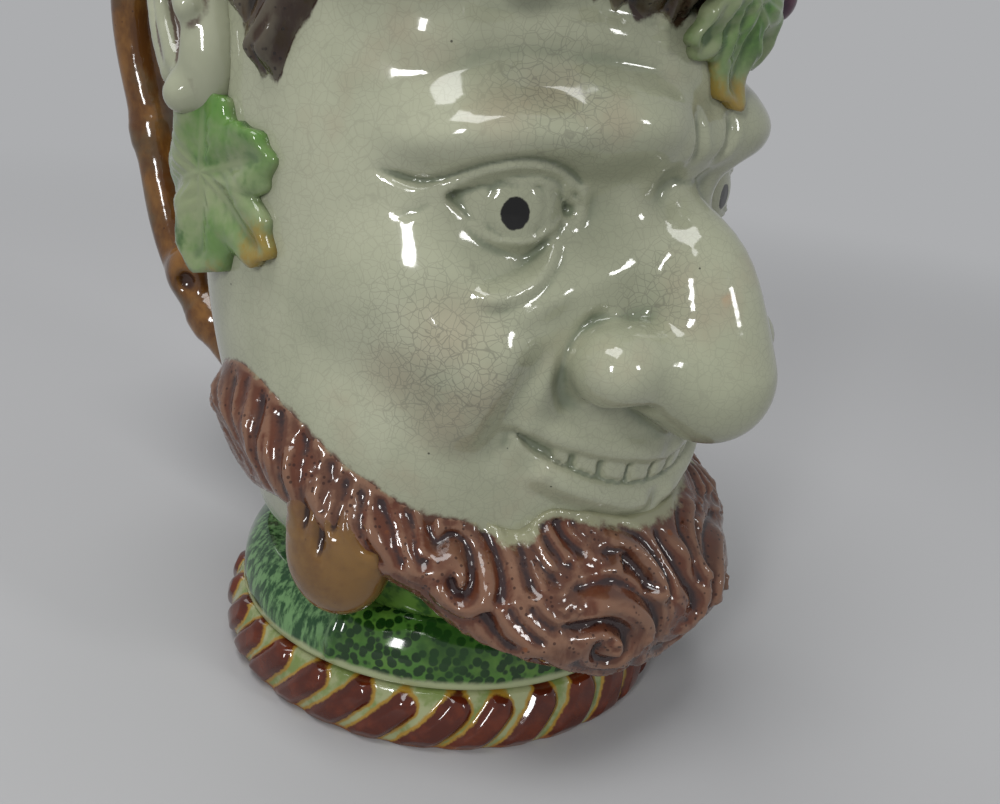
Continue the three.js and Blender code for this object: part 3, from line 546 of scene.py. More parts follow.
nose = {
    # middle lines of the bridge with the bulb, and of the bulb's sides: x, y, z, radius
    "bridge": [(0, -30.4, 86, 2.2), (0, -30.6, 81.5, 2.8), (0, -33.6, 76.6, 5.0), (0, -37.7, 70.5, 7.7),
               (0.1, -40.5, 64, 8.5), (0.3, -42.6, 58.2, 8.7)],
    "side": [(10.5, -38.8, 60.4, 5.4), (3, -42, 58.6, 6.8)],
    "wing": {"turn": 21.6, "height": 60.7, "radius": 39.9, "size": (5.4, 6.2, 5.1), "blend": 2.4, "cut": False},
    "nostril": {"turn": 18.4, "height": 55.2, "radius": 41.6, "size": (3.2, 4.2, 1.5), "blend": 1.6, "cut": True},
}
bridge = smoothLine(nose["bridge"])
addRope(headBlock, headField, bridge[:, :3], bridge[:, 3], 3.2)
for side in (1, -1):
    body = smoothLine([(side * x, y, z, r) for x, y, z, r in nose["side"]])
    addRope(headBlock, headField, body[:, :3], body[:, 3], 2.4)
    for ball in (nose["wing"], nose["nostril"]):
        turn = side * ball["turn"]
        addBall(headBlock, headField, place(turn, ball["height"], ball["radius"]), ball["size"], ball["blend"],
                frameAt(turn), ball["cut"])

# hollowed out inside, and cut flat below and above
rho, inner = onBlock(headBlock, np.minimum(bareHead - head["wall"], headTable - head["thinnest"]))
up = headBlock["axes"][2][None, None, :]
hollowField = np.maximum((rho - inner) * 0.97, head["floor"] - up)
headField = smoothMax(headField, -hollowField, 0.6)
headField = smoothMax(headField, np.maximum(head["base"] - up, up - head["top"]) + 0 * rho, 0.5)
mug = skin("mugHead", headBlock, headField)
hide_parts("head_front", "head_back")
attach(mug, "root")
paintHollows(mug)
del headField, hollowField, rho, inner
print("the head is done")

beard = {
    # upper and lower edge, thickness at the sides and radius in front: (turn, mm) and (height, mm)
    "top": [(0, 35.6), (8, 35.8), (20, 37.6), (29, 37.8), (33, 35.4), (37, 35.6), (41, 36.6), (46, 38), (52, 38.6),
            (58.6, 40.4), (65.7, 43), (71, 44.8), (78, 48), (87, 50.6), (94, 52.2), (104, 51.8), (113, 48.5),
            (121, 43)],
    "low": [(0, 14.4), (14, 15.0), (25, 18.0), (36, 21.6), (46, 23.8), (54, 26.2), (60, 28), (66, 31), (75, 34.4),
            (84, 35.2), (92, 34), (100, 33), (110, 35), (121, 40)],
    "depth": [(0, 8), (24, 8.6), (40, 7.4), (52, 5.6), (66, 4.4), (80, 3.8), (100, 3.3), (115, 2.6), (121, 0.4)],
    "frontRadius": [(11, 40.5), (14, 43.4), (18, 45.3), (23, 46.2), (28, 45.4), (32, 43), (35.5, 39.6), (38, 37)],
    "end": 121,
    "wider": 1.3,  # the raised locks against the half widths given for them
    "uneven": 0.5,
    "sunk": 0.7,  # how far it reaches into the head
    "past": 1.2,  # and past its edge, under the skin
    "front": {"from": 26, "to": 56},  # turns between which the front's radius takes over
    "flatter": {"from": 62, "by": 0.35},  # the strands are shallower where they lie flat on the cheek
    "combing": {"apart": 1.3, "deep": 0.26},  # fine strands in mm, which follow the valleys
    "under": {"height": 19.2, "radius": 32.0},  # the chin's beard hangs free of the neck below this
}
beardSide = np.abs(turnGrid)
beardTop, beardLow = curve(beard["top"], beardSide), curve(beard["low"], beardSide)
beardEdge = np.minimum(beardTop - heightGrid, heightGrid - beardLow + 1.5)
beardEdge = np.minimum(beardEdge, (beard["end"] - beardSide) * perDegree)
thick = curve(beard["depth"], beardSide) * soft((beardTop + 0.6 - heightGrid) / 8) ** 0.8
thick = thick - 0.7 * soft(0.5 - beardEdge)  # its edge dips under the skin
sideRadius = headTable + thick + np.maximum(27 - heightGrid, 0) * 0.5  # it stands off under the chin
frontRadius = np.maximum(curve(beard["frontRadius"], heightGrid), headTable + 0.2)
front = beard["front"]
share = soft((front["to"] - beardSide) / (front["to"] - front["from"]))
beardTable = sideRadius * (1 - share) + frontRadius * share
beardTable += beard["uneven"] * noise(turnGrid, heightGrid, 14, 8) * soft(beardEdge / 4)
strands = [
    # lines between the strands: (turn, height) points, half width, how far out
    ([(118, 45), (113, 43.5), (106, 42), (100, 39.5), (96, 36.5)], 1.2, -1.1),
    ([(114, 47.5), (109, 46), (103, 43.4), (98, 40), (93, 36.4)], 1.1, -0.9),
    ([(108, 50), (104, 46.8), (99, 43.6), (94, 40.6), (90, 37)], 1.1, -1.1),
    ([(101, 51.6), (98, 48.2), (95.5, 45), (92, 41.5), (88, 37.6)], 1.2, -1.2),
    ([(96, 52), (94, 48.6), (92.4, 45.4), (90, 42)], 0.9, -0.9),
    ([(91, 51.4), (88.6, 47.4), (87.4, 43.4), (86.2, 40), (84, 36.2)], 1.2, -1.5),
    ([(85.6, 50), (83.2, 47), (81.4, 43.8), (80.2, 40.6), (78, 36.8)], 1.2, -1.5),
    ([(82, 49.4), (80, 47.4), (79, 45)], 0.8, -0.7),
    ([(79, 48.4), (77.6, 46), (76.7, 43.5), (75.5, 40), (74.4, 36.5), (73, 32.5), (72.4, 29)], 1.3, -1.9),
    ([(75.8, 46), (74.6, 42.9), (74, 40), (72.4, 36.2)], 0.9, -1.1),
    ([(72.4, 45), (71.2, 41.6), (71, 37.6)], 1.0, -1.1),
    ([(69.4, 44), (68.4, 40.6), (67.9, 37.6), (66.2, 35.4), (63.6, 33.2), (60.6, 31.2)], 1.2, -1.3),
    ([(66.4, 42.4), (65, 39.2), (64, 36.6), (62, 34.4), (59, 32.2)], 1.1, -1.3),
    ([(63, 41), (61, 38.8), (59, 37), (57.4, 34.6), (55, 31.8)], 1.1, -1.3),
    ([(60, 40.6), (58, 38.8), (56, 36.4), (54.6, 34.6)], 0.8, -0.8),
    ([(58, 39.9), (56.4, 38.2), (54.8, 36.2), (54.2, 34.6), (52.6, 33.4), (50.6, 34)], 1.0, -1.3),
    ([(55, 39.4), (53, 38.3), (52.3, 36.4), (50.6, 35.2), (47.7, 36), (44.6, 34.8), (43.2, 32), (44.3, 30),
      (46.4, 30.4), (47, 31.8), (45.6, 32.6)], 1.25, -1.9),
    ([(50, 38.2), (48.6, 37.4), (46.4, 37.6)], 0.8, -0.6),
    ([(43.4, 37.4), (40.4, 35.8), (38.4, 33.2), (37.8, 31), (38.8, 29)], 1.25, -1.7),
    ([(46.8, 38), (43, 36.2), (41, 33.6), (40.6, 31.2)], 0.9, -0.7),
    ([(37.8, 36.6), (35.4, 36.4), (33.8, 34.8), (33.2, 32.4), (32, 30.2)], 1.2, -1.5),
    ([(33, 37.4), (31.8, 35), (29.6, 32.8), (27, 31.6)], 1.1, -1.2),
    ([(30, 38.2), (28.4, 35.8), (26, 33.8), (23.8, 32.8)], 1.1, -1.3),
    ([(27, 38.4), (25.2, 36.4), (22.8, 34.8), (20.6, 33.8)], 1.1, -1.3),
    ([(23, 38), (21, 36.4), (18.4, 35.2)], 0.8, -0.6),
    ([(41.4, 28.8), (39.8, 26.8), (37.6, 24.6), (34.4, 23)], 1.3, -1.7),
    ([(37.8, 30), (35.5, 27.8), (33, 26), (30.4, 24.6)], 1.0, -1.1),
    ([(34, 29.8), (31.4, 27.8), (28.4, 26.4)], 0.9, -0.9),
    ([(30.6, 27.8), (26, 26.8), (22.4, 26.6), (18.4, 26.2), (15.2, 24.2), (15, 21.4), (17.6, 20.2), (20.6, 21.6),
      (20.6, 23.6), (18.8, 24.2)], 1.35, -2.0),
    ([(27.6, 30.6), (22, 31.2), (16, 30.8), (11.5, 29), (8.2, 25.4), (7.8, 20.6)], 1.2, -1.4),
    ([(31.4, 31.4), (27, 32.4), (22.6, 32.8), (18, 32.6)], 0.9, -0.8),
    ([(13.6, 33), (11.4, 32), (9.2, 30.2), (8.4, 28.2)], 1.9, -2.2),
    ([(17, 37), (11, 36), (6, 33.6), (4.2, 29.6), (5, 25.6)], 1.1, -1.4),
    ([(18, 33.8), (14.6, 34), (12, 33.4)], 0.9, -0.8),
    ([(26, 22.4), (22, 19.4), (16, 17.6), (10, 16)], 1.2, -1.3),
    ([(33, 23), (29, 20.2), (24, 17.8), (18, 15.6)], 1.2, -1.3),
    ([(37, 22.6), (33, 20), (28.4, 17.6)], 0.9, -0.9),
    ([(12, 20), (10, 17), (9, 14)], 1.1, -1.1),
]
locks = [
    # strands and curl rims that stand up
    ([(23, 29.4), (18, 29), (13.9, 27.5), (10.6, 24.5), (10.2, 20.8)], 1.5, 1.1),
    ([(16, 35.6), (12, 35.4), (8.6, 33.4), (6.5, 30), (7.4, 26.8)], 1.4, 1.2),
    ([(41.8, 35), (41, 32), (42.2, 29.4), (45, 28.4), (48, 29.4), (49.2, 31.6)], 1.5, 0.9),
    ([(17.6, 24.6), (16.6, 22.8), (18, 21.6)], 0.8, 0.8),
    ([(44.9, 31.4), (46, 31.6)], 0.8, 0.7),
    ([(31, 37.6), (30.2, 35.2), (27.8, 33.2)], 1.2, 0.7),
    ([(28.6, 37.8), (26.6, 35.2), (24.4, 33.8)], 1.1, 0.7),
]
middleLocks = [
    # the curls over the middle of the chin, which aren't mirrored
    ([(-2.4, 36), (-1, 31.6), (0.6, 28.4), (2.8, 25.6), (2.8, 22.8)], 1.5, -1.8),
    ([(-1, 34.4), (3.4, 31.4), (5.4, 27.6), (4.8, 23.4), (1.4, 21), (-2.6, 22)], 1.3, 1.0),
    ([(8, 19.4), (2, 18), (-4, 18.6), (-8, 20.4)], 1.2, -1.3),
    ([(6, 15.8), (0, 14.8), (-6, 15.8)], 1.0, -0.9),
]
for lines, sides in ((locks, (1, -1)), (middleLocks, (1,))):
    for points, half, out in lines:
        if out > 0:
            carve(beardTable, points, half * beard["wider"], out, 0.15, sides)
deep, away = furrow(strands)
middleDeep, middleAway = furrow([line for line in middleLocks if line[2] < 0], sides=(1,))
deep, away = np.minimum(deep, middleDeep), np.minimum(away, middleAway)
combing, flatter = beard["combing"], beard["flatter"]
combed = np.cos(2 * math.pi * away / combing["apart"]) * soft(away / 0.8) * soft(beardEdge / 2.5)
deep = deep * (1 - flatter["by"] * soft((beardSide - flatter["from"]) / 18))
beardTable += deep + combing["deep"] * combed * (0.6 + 0.4 * noise(turnGrid, heightGrid, 9, 12))
beardBlock = makeBlock((-50, -52, 10), (50, 28, 56))
beardField = underTable(beardBlock, np.where(beardEdge > -3, beardTable, headTable - 2))
under = beard["under"]
innerTable = np.where(heightGrid < under["height"], under["radius"], headTable - beard["sunk"])
beardField = keepOutside(beardBlock, beardField, innerTable)
rho, lowTable, edgeTable = onBlock(beardBlock, beardLow, beardEdge)
beardField = smoothMax(beardField, (lowTable - beardBlock["axes"][2][None, None, :]) * 0.85, 3.2)
beardField = np.maximum(beardField, -beard["past"] - edgeTable)
beardPiece = skin("beardCurls", beardBlock, beardField)
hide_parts("beard")
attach(beardPiece, "root")
paintHollows(beardPiece)
print("the beard is done")

tanLock = {
    "turn": 70.5, "height": 31.0, "radius": 38.0, "size": (7.6, 5.9, 9.4),
    "from": 30, "to": 41, "half": 6.4, "over": 0.5,  # its root, which lies on the beard's strands
    "blend": 2.6, "sunk": 0.5,
    "strands": [  # as in the beard
        ([(73.2, 47), (72.3, 43.7), (71.7, 39.1), (70.8, 35.6), (70.1, 31)], 1.1, -1.9),
        ([(75.4, 45), (75, 43), (74.3, 38.6), (74.2, 34)], 0.9, -1.2),
        ([(69.4, 44), (68.9, 39.6), (68.2, 35)], 0.9, -1.3),
        ([(66.8, 42), (65.3, 38.4), (63.2, 35.4), (60.6, 33.4)], 1.0, -1.6),
        ([(64.4, 41), (62.4, 38), (60, 35.8)], 0.8, -1.2),
    ],
}
deep, away = furrow(tanLock["strands"], 0.25)
# the root lies over the strands and dips between them at its upper end
lockTable = beardTable + tanLock["over"] - 2.4 * soft((heightGrid - tanLock["to"] + 4) / 6)
for side, name in ((-1, "left"), (1, "right")):
    middle = place(side * tanLock["turn"], tanLock["height"], tanLock["radius"])
    lockBlock = makeBlock(middle - 15, middle + 15)
    lockField = underTable(lockBlock, lockTable)
    across = np.abs(turnGrid - side * tanLock["turn"]) * perDegree - tanLock["half"]
    rho, beyond = onBlock(lockBlock, across)
    up = lockBlock["axes"][2][None, None, :] + 0 * rho
    lockField = smoothMax(lockField, beyond, 2.5)
    lockField = smoothMax(lockField, np.maximum(tanLock["from"] - up, up - tanLock["to"] - 4), 1.5)
    addBall(lockBlock, lockField, middle, tanLock["size"], tanLock["blend"], frameAt(side * tanLock["turn"]))
    lockField = lockField - onBlock(lockBlock, deep)[1]  # strands run down into it
    lockField = keepOutside(lockBlock, lockField, headTable - tanLock["sunk"])
    lock = skin("tanLock_" + name, lockBlock, lockField)
    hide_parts("tan_lock_" + name)
    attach(lock, "root")
    paintHollows(lock)
print("the locks at the jaw are done")

hair = {
    # lower edge: turn, height
    "low": [(0, 103.3), (12, 101.4), (24, 101.8), (36, 104.5), (60, 105), (72, 105), (79, 103.6), (84, 97), (88.5, 90),
            (91.5, 90), (95, 93.4), (100, 98), (106, 102.6), (116, 104), (130, 82), (144, 60), (160, 52.5),
            (180, 50.5)],
    "depth": 3.4,
    "locks": {"apart": 6.2, "deep": 1.5},
    "strands": {"apart": 2.1, "deep": 0.55},
    "tips": 1.6,  # how far the locks' tips hang down
    "sunk": 0.7, "past": 1.2,
}
hairLow = curve(hair["low"], np.abs(turnGrid))
tips = np.abs(((turnGrid * 0.16 + 0.3 * np.sin(turnGrid * 0.21)) % 1) - 0.5) * 2  # unevenly 6 degrees apart
hairLow = hairLow - hair["tips"] * soft(tips) + 0.6
hairEdge = heightGrid - hairLow
sway = 1.5 * np.sin(heightGrid / 7 + turnGrid / 21) + 0.9 * np.sin(heightGrid / 3.4 - turnGrid / 13)
wide, fine = hair["locks"], hair["strands"]
wideWave = np.abs(np.sin(math.pi * (turnGrid * perDegree + sway) / wide["apart"]))
fineWave = np.abs(np.sin(math.pi * (turnGrid * perDegree + sway * 1.3) / fine["apart"]))
grooves = wide["deep"] * (1 - wideWave**0.6) + fine["deep"] * (1 - fineWave**0.7)
hairSmooth = headTable + hair["depth"] * soft((hairEdge + 0.4) / 4.5) - 0.7 * soft(0.3 - hairEdge)
hairTable = hairSmooth - soft((hairEdge + 1) / 3) * grooves
wreathTable = headTable + hair["depth"] * soft((hairEdge + 6) / 9)  # what the leaves and grapes lie on
hairBlock = makeBlock((-50, -46, 46), (50, 50, 120))
hairField = underTable(hairBlock, hairTable)
hairField = keepOutside(hairBlock, hairField, headTable - hair["sunk"])
rho, edgeTable = onBlock(hairBlock, hairEdge)
hairField = np.maximum(hairField, -hair["past"] - edgeTable)
hairField = smoothMax(hairField, hairBlock["axes"][2][None, None, :] - head["top"] + 0 * rho, 1.0)
hairPiece = skin("hairLocks", hairBlock, hairField)
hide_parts("hair_front", "hair_back")
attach(hairPiece, "root")
paintHollows(hairPiece)
del hairField, edgeTable, rho
print("the hair is done")

ear = {
    "turn": 113, "height": 94.3, "radius": 41.4, "size": (7.2, 5.6, 11.6), "lean": 32, "sunk": 0.5,
    # places along, out and up from the middle of the ear
    "bowl": {"at": (-0.6, 5.6, 1.5), "size": (4.6, 3.4, 8.0)},
    "rim": {"line": [(5.2, 3.6, -4), (6.6, 4.2, 2), (6.2, 4.4, 8), (2.6, 4.6, 11.4), (-2.6, 4.4, 10.6),
                     (-5.6, 3.8, 5.6), (-6, 3.2, -1)], "radius": 1.75, "blend": 1.0},
    "fold": {"line": [(3.0, 3.8, -3), (3.6, 4.4, 2.6), (2.4, 4.6, 6.4), (-1.4, 4.2, 7)], "radius": 1.25, "blend": 0.8},
    "lobe": {"at": (0.8, 3.6, -9.0), "size": (2.4, 2.4, 2.4)},
}


def earPlace(side, along, out, up):
    # a place on the leaning ear as x, y and z
    lean = math.radians(ear["lean"])
    axes = frameAt(side * ear["turn"])
    centre = place(side * ear["turn"], ear["height"], ear["radius"])
    a, u = along * math.cos(lean) + up * math.sin(lean), up * math.cos(lean) - along * math.sin(lean)
    return centre + axes[0] * a * side + axes[1] * out + axes[2] * u


for side, name in ((-1, "left"), (1, "right")):
    middle = place(side * ear["turn"], ear["height"], ear["radius"])
    earBlock = makeBlock(middle - 17, middle + 17)
    earField = emptyField(earBlock)
    axes = np.array([earPlace(side, *v) - earPlace(side, 0, 0, 0) for v in np.eye(3)])
    addBall(earBlock, earField, middle, ear["size"], 0.5, axes)
    addBall(earBlock, earField, earPlace(side, *ear["bowl"]["at"]), ear["bowl"]["size"], 1.2, axes, cut=True)
    for rope in (ear["rim"], ear["fold"]):
        path = smoothLine([earPlace(side, *v) for v in rope["line"]])
        addRope(earBlock, earField, path, rope["radius"], rope["blend"])
    addBall(earBlock, earField, earPlace(side, *ear["lobe"]["at"]), ear["lobe"]["size"], 1.8)
    earField = keepOutside(earBlock, earField, headTable - ear["sunk"])
    earPiece = skin("satyrEar_" + name, earBlock, earField)
    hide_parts("ear_" + name)
    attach(earPiece, "root")
    paintHollows(earPiece)
print("the ears are done")

leafForm = {
    "lobes": ((0, 1.0), (58, 0.94), (-58, 0.94), (118, 0.78), (-118, 0.78)),  # angle from the tip, reach
    "lobeWide": 34,  # half a lobe in degrees
    "base": 0.6, "teeth": 22, "serration": 0.03,  # reach between the lobes; teeth, and their share of it
    "rim": 0.9, "under": 0.6, "puff": 1.5, "vein": 0.22,  # thickness above and in the wreath, swelling, veins
    "small": 0.12, "curl": 0.9,  # side veins, and the turned-up edge
    "stand": {"below": 90, "from": 97, "out": 3.0},  # the leaves beside the cheeks stand off towards the back
    "rings": 22, "spokes": 132,
}
leafPlaces = {
    # turn, height, lean in degrees, length, width
    "left_1": (-30, 113, 8, 18, 19), "left_2": (-68, 112.5, 14, 22, 23), "left_3": (-104, 114, -12, 20, 22),
    "left_4": (-148, 111.3, 10, 23, 24), "left_5": (-105, 77, 55, 30, 27),
    "right_1": (6, 104.5, -4, 25, 26.5), "right_2": (68, 112.5, -14, 22, 23), "right_3": (104, 114, 12, 20, 22),
    "right_4": (148, 111.3, -10, 23, 24), "right_5": (105, 77, -55, 30, 27),
}


def leafPiece(name, turn, height, lean, length, width):
    # rings and spokes of points, an upper and a lower set, with five lobes and a vein in each
    spokes, rings = leafForm["spokes"], leafForm["rings"]
    angle = np.arange(spokes) * 2 * math.pi / spokes
    share = np.linspace(0, 1, rings + 1)[1:, None]
    base = leafForm["base"]
    offLobe = [np.abs((np.degrees(angle) - at + 180) % 360 - 180) for at, size in leafForm["lobes"]]
    outline = np.full(angle.shape, base)
    for off, (at, size) in zip(offLobe, leafForm["lobes"]):
        outline = np.maximum(outline, base + (size - base) * (1 - np.clip(off / leafForm["lobeWide"], 0, 1) ** 1.5))
    reach = (outline * (1 + leafForm["serration"] * np.sin(leafForm["teeth"] * angle)))[None] * share
    near = np.min(offLobe, 0)
    offVein = np.sin(np.radians(np.minimum(near, 89)))[None] * reach * length * 0.5
    puff = leafForm["puff"] * (1 - np.exp(-((offVein / 1.5) ** 2))) * (share * (1 - share**3) * 1.6)
    vein = leafForm["vein"] * np.exp(-((offVein / 0.45) ** 2)) * (1 - 0.7 * share)
    small = leafForm["small"] * np.sin(offVein * 3.4 - reach * length * 1.5) * soft(offVein / 1.2) * (1 - share**2)
    curl = leafForm["curl"] * soft((share - 0.75) / 0.25) * np.cos(angle * 2.5)[None] ** 2
    lift = leafForm["rim"] + puff + vein + small + curl
    c, s = math.cos(math.radians(lean)), math.sin(math.radians(lean))
    radius = radiusAt(wreathTable, turn, height)
    stand = leafForm["stand"]

    def onWreath(reachNow, liftNow):
        across, up = width * 0.5 * reachNow * np.sin(angle), -length * 0.5 * reachNow * np.cos(angle)
        t = turn + np.degrees((across * c - up * s) / radius)
        z = height + across * s + up * c
        flat = np.stack([np.sin(np.radians(t)), -np.cos(np.radians(t)), 0 * z], -1)
        at = flat * 40 + np.stack([0 * z, 0 * z, z], -1)
        r = tableAt(wreathTable, at.reshape(-1, 3)).reshape(z.shape) + liftNow
        if height < stand["below"]:
            r = r + stand["out"] * soft((np.abs(t) - stand["from"]) / 14) * (liftNow > 0)
        return flat * r[..., None] + np.stack([0 * z, 0 * z, z], -1)

    top = onWreath(reach, lift)
    low = onWreath(reach, np.full(reach.shape, -leafForm["under"]))
    crown, root = top[0].mean(0), low[0].mean(0)
    points = np.concatenate([top.reshape(-1, 3), low.reshape(-1, 3), [crown], [root]])
    i, k = np.meshgrid(np.arange(rings - 1), np.arange(spokes), indexing="ij")
    n = (k + 1) % spokes
    topFaces = np.stack([i * spokes + k, i * spokes + n, (i + 1) * spokes + n, (i + 1) * spokes + k], -1)
    topFaces = topFaces.reshape(-1, 4)
    under = rings * spokes
    lowFaces = (topFaces + under)[:, ::-1]
    k, n = np.arange(spokes), (np.arange(spokes) + 1) % spokes
    edge = (rings - 1) * spokes
    sides = np.stack([edge + k, edge + n, under + edge + n, under + edge + k], -1)
    caps = np.concatenate([np.stack([n, k, np.full(spokes, 2 * under)], -1),
                           np.stack([under + k, under + n, np.full(spokes, 2 * under + 1)], -1)])
    piece = meshPiece("vineLeaf_" + name, points, [np.concatenate([topFaces, lowFaces, sides]), caps])
    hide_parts("vine_leaf_" + name)
    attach(piece, "root")
    tip = np.concatenate([(reach * np.cos(angle)).ravel()] * 2 + [[0, 0]])
    veins = np.concatenate([(np.exp(-((offVein / 0.7) ** 2)) * (1 - share**4)).ravel()] * 2 + [[1, 1]])
    paint(piece, "tip", tip)
    paint(piece, "vein", veins)
    paintHollows(piece, 5)


for name, values in leafPlaces.items():
    leafPiece(name, *values)
print("the leaves are done")

bunches = {
    # turn, height of the top row, rows
    "front": (-15, 115.8, 2), "left_1": (-49, 115.8, 3), "left_2": (-127, 113.8, 3), "right_1": (49, 115.8, 3),
    "right_2": (127, 113.8, 3),
}
grape = {
    "radius": 3.5, "tall": 1.06, "shrink": (0.88, 1.04),  # sizes differ a little
    "drop": 4.6, "apart": 5.2,  # mm between rows, and along a row
    "sink": 1.2, "round": 0.5,  # how far they sit in the wreath, and how far the outer ones stand back
    "blend": 0.35, "above": 0.4,
}
for index, (name, (turn, height, rows)) in enumerate(bunches.items()):
    dice = np.random.default_rng(20 + index)
    middle = place(turn, height - 5, 40)
    bunchBlock = makeBlock(middle - 19, middle + 19)
    bunchField = emptyField(bunchBlock)
    for row in range(rows):
        count = rows - row
        for n in range(count):
            off = n - (count - 1) / 2
            t = turn + math.degrees(off * grape["apart"] / 42) + dice.uniform(-0.8, 0.8)
            z = height - row * grape["drop"] + dice.uniform(-0.4, 0.4)
            r = radiusAt(wreathTable, t, z) + grape["radius"] - grape["sink"] - abs(off) * grape["round"]
            size = grape["radius"] * dice.uniform(*grape["shrink"])
            size = (size, size, size * grape["tall"])
            addBall(bunchBlock, bunchField, place(t, z, r), size, grape["blend"], frameAt(t))
    bunchField = keepOutside(bunchBlock, bunchField, headTable + grape["above"], 0.3)
    bunch = skin("grapeBunch_" + name, bunchBlock, bunchField)
    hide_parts("grapes_" + name)
    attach(bunch, "root")
    paintHollows(bunch, 4)
print("the grapes are done")

handle = {
    # middle line: y, z
    "line": [(32.5, 107.6), (44, 110.6), (56.4, 112.6), (69, 112.8), (78.3, 110.9), (86.8, 104.8), (90.1, 97.1),
             (89.9, 85.1), (86, 71.3), (78.6, 55.0), (67.5, 41.4), (54.6, 31.9), (43, 28), (33, 26.6)],
    "strands": ((-7.0, -0.3, 4.1), (0, 0.3, 4.3), (7.0, -0.3, 4.1)),  # across, out, radius
    "knots": ((0.3, 1.0), (0.56, 0.8), (0.8, 0.9)),  # share of the length, how far out
    "knotLength": 0.02,  # share of the length
    "narrowing": 0.2,  # share by which the strands draw together toward the lower end
    "sway": 0.5, "blend": 1.5, "sunk": 0.6,
    # the cut stub on the side, and the pith's hole in its end
    "stub": {"at": (-8.2, 68.4, 46.6), "size": (4.3, 4.9, 5.2), "blend": 2.2, "cut": False},
    "pith": {"at": (-11.6, 65.2, 45.4), "size": (2.3, 2.3, 2.3), "blend": 1.2, "cut": True},
}
line = smoothLine(handle["line"], 8)
ahead = np.gradient(line, axis=0)
ahead /= np.linalg.norm(ahead, axis=1)[:, None]
length = np.concatenate([[0], np.cumsum(np.linalg.norm(np.diff(line, axis=0), axis=1))])
length /= length[-1]
handleBlock = makeBlock((-17, 26, 16), (17, 100, 121))
handleField = emptyField(handleBlock)
swell = sum(size * np.exp(-(((length - at) / handle["knotLength"]) ** 2)) for at, size in handle["knots"])
for across, out, radius in handle["strands"]:
    narrow = 1 - handle["narrowing"] * length
    twist = handle["sway"] * np.sin(length * 21 + across)
    y = line[:, 0] + ahead[:, 1] * -(out + twist)
    z = line[:, 1] + ahead[:, 0] * (out + twist)
    path = np.stack([across * narrow + handle["sway"] * np.sin(length * 17 + across * 2), y, z], 1)
    addRope(handleBlock, handleField, path, radius * (0.94 + 0.1 * narrow) + swell, handle["blend"])
for ball in (handle["stub"], handle["pith"]):
    addBall(handleBlock, handleField, np.array(ball["at"]), ball["size"], ball["blend"], cut=ball["cut"])
carrier = np.maximum(headTable, hairTable * (hairEdge > 0))
handleField = keepOutside(handleBlock, handleField, carrier - handle["sunk"])
handlePiece = skin("vineHandle", handleBlock, handleField)
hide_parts("handle", "handle_stub")
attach(handlePiece, "root")
paintHollows(handlePiece)
print("the handle is done")


def turnedPiece(name, profile, columns, relief=None, closed=False):
    # a body of revolution from (radius, height) points; relief(turn, height, index) moves it out
    profile = np.array(profile, float)
    t = np.arange(columns) * 360 / columns
    grid = np.repeat(profile[None], columns, 0)
    if relief:
        grid[:, :, 0] += relief(t[:, None], profile[None, :, 1], np.arange(len(profile))[None])
    a = np.radians(t)[:, None]
    points = np.stack([grid[..., 0] * np.sin(a), -grid[..., 0] * np.cos(a), grid[..., 1]], -1).reshape(-1, 3)
    rows = len(profile)
    i, k = np.meshgrid(np.arange(columns), np.arange(rows if closed else rows - 1), indexing="ij")
    n, m = (i + 1) % columns, (k + 1) % rows
    faces = [np.stack([i * rows + k, n * rows + k, n * rows + m, i * rows + m], -1).reshape(-1, 4)]
    if not closed:
        points = np.concatenate([points, [(0, 0, profile[0, 1])], [(0, 0, profile[-1, 1])]])
        i = np.arange(columns)
        n = (i + 1) % columns
        low = np.stack([n * rows, i * rows, np.full(columns, len(points) - 2)], -1)
        top = np.stack([i * rows + rows - 1, n * rows + rows - 1, np.full(columns, len(points) - 1)], -1)
        faces.append(np.concatenate([low, top]))
    return meshPiece(name, points, faces)


socle = {
    "edge": 34.5, "neck": 28.6, "low": 9.3, "shoulder": 10.0, "top": 18.25, "plug": 26.6,
    "seams": (-75, 75), "seamOut": 0.7, "seamHalf": 2.2,  # the two ridges that the mould left: turns, mm, degrees
    "bulge": 0.3, "uneven": 0.12,
}
bell = np.linspace(0, 1, 34)
bellRadius = socle["neck"] + (socle["edge"] - socle["neck"]) * np.sqrt(1 - (0.94 * bell) ** 2)  # a shallow dome
bellHeight = socle["shoulder"] + (socle["top"] - socle["shoulder"]) * bell
socleProfile = [(2, 0.25), (socle["plug"] - 1.4, 0.25), (socle["plug"] - 1.4, 0.05), (socle["plug"], 0.05),
                (socle["plug"], socle["low"]), (socle["edge"] - 0.5, socle["low"]), (socle["edge"], socle["low"] + 0.3)]
bellStart = len(socleProfile)
socleProfile += list(zip(bellRadius, bellHeight)) + [(2, socle["top"])]


def socleRelief(turn, height, index):
    # a slight bulge, the mould's seams and the clay's unevenness, on the dome alone
    onBell = (index >= bellStart) * (index < bellStart + len(bell))
    shown = (height > socle["shoulder"]) * onBell
    bulge = socle["bulge"] * np.sin(np.clip((height - socle["shoulder"]) / 8, 0, 1) * math.pi) * onBell
    seam = sum(socle["seamOut"] * hill(((turn - at + 180) % 360 - 180) / socle["seamHalf"]) for at in socle["seams"])
    return bulge + seam * shown + socle["uneven"] * noise(turn, height, 7, 5) * shown


soclePiece = turnedPiece("spongedSocle", socleProfile, 420, socleRelief)
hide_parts("socle")
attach(soclePiece, "root")

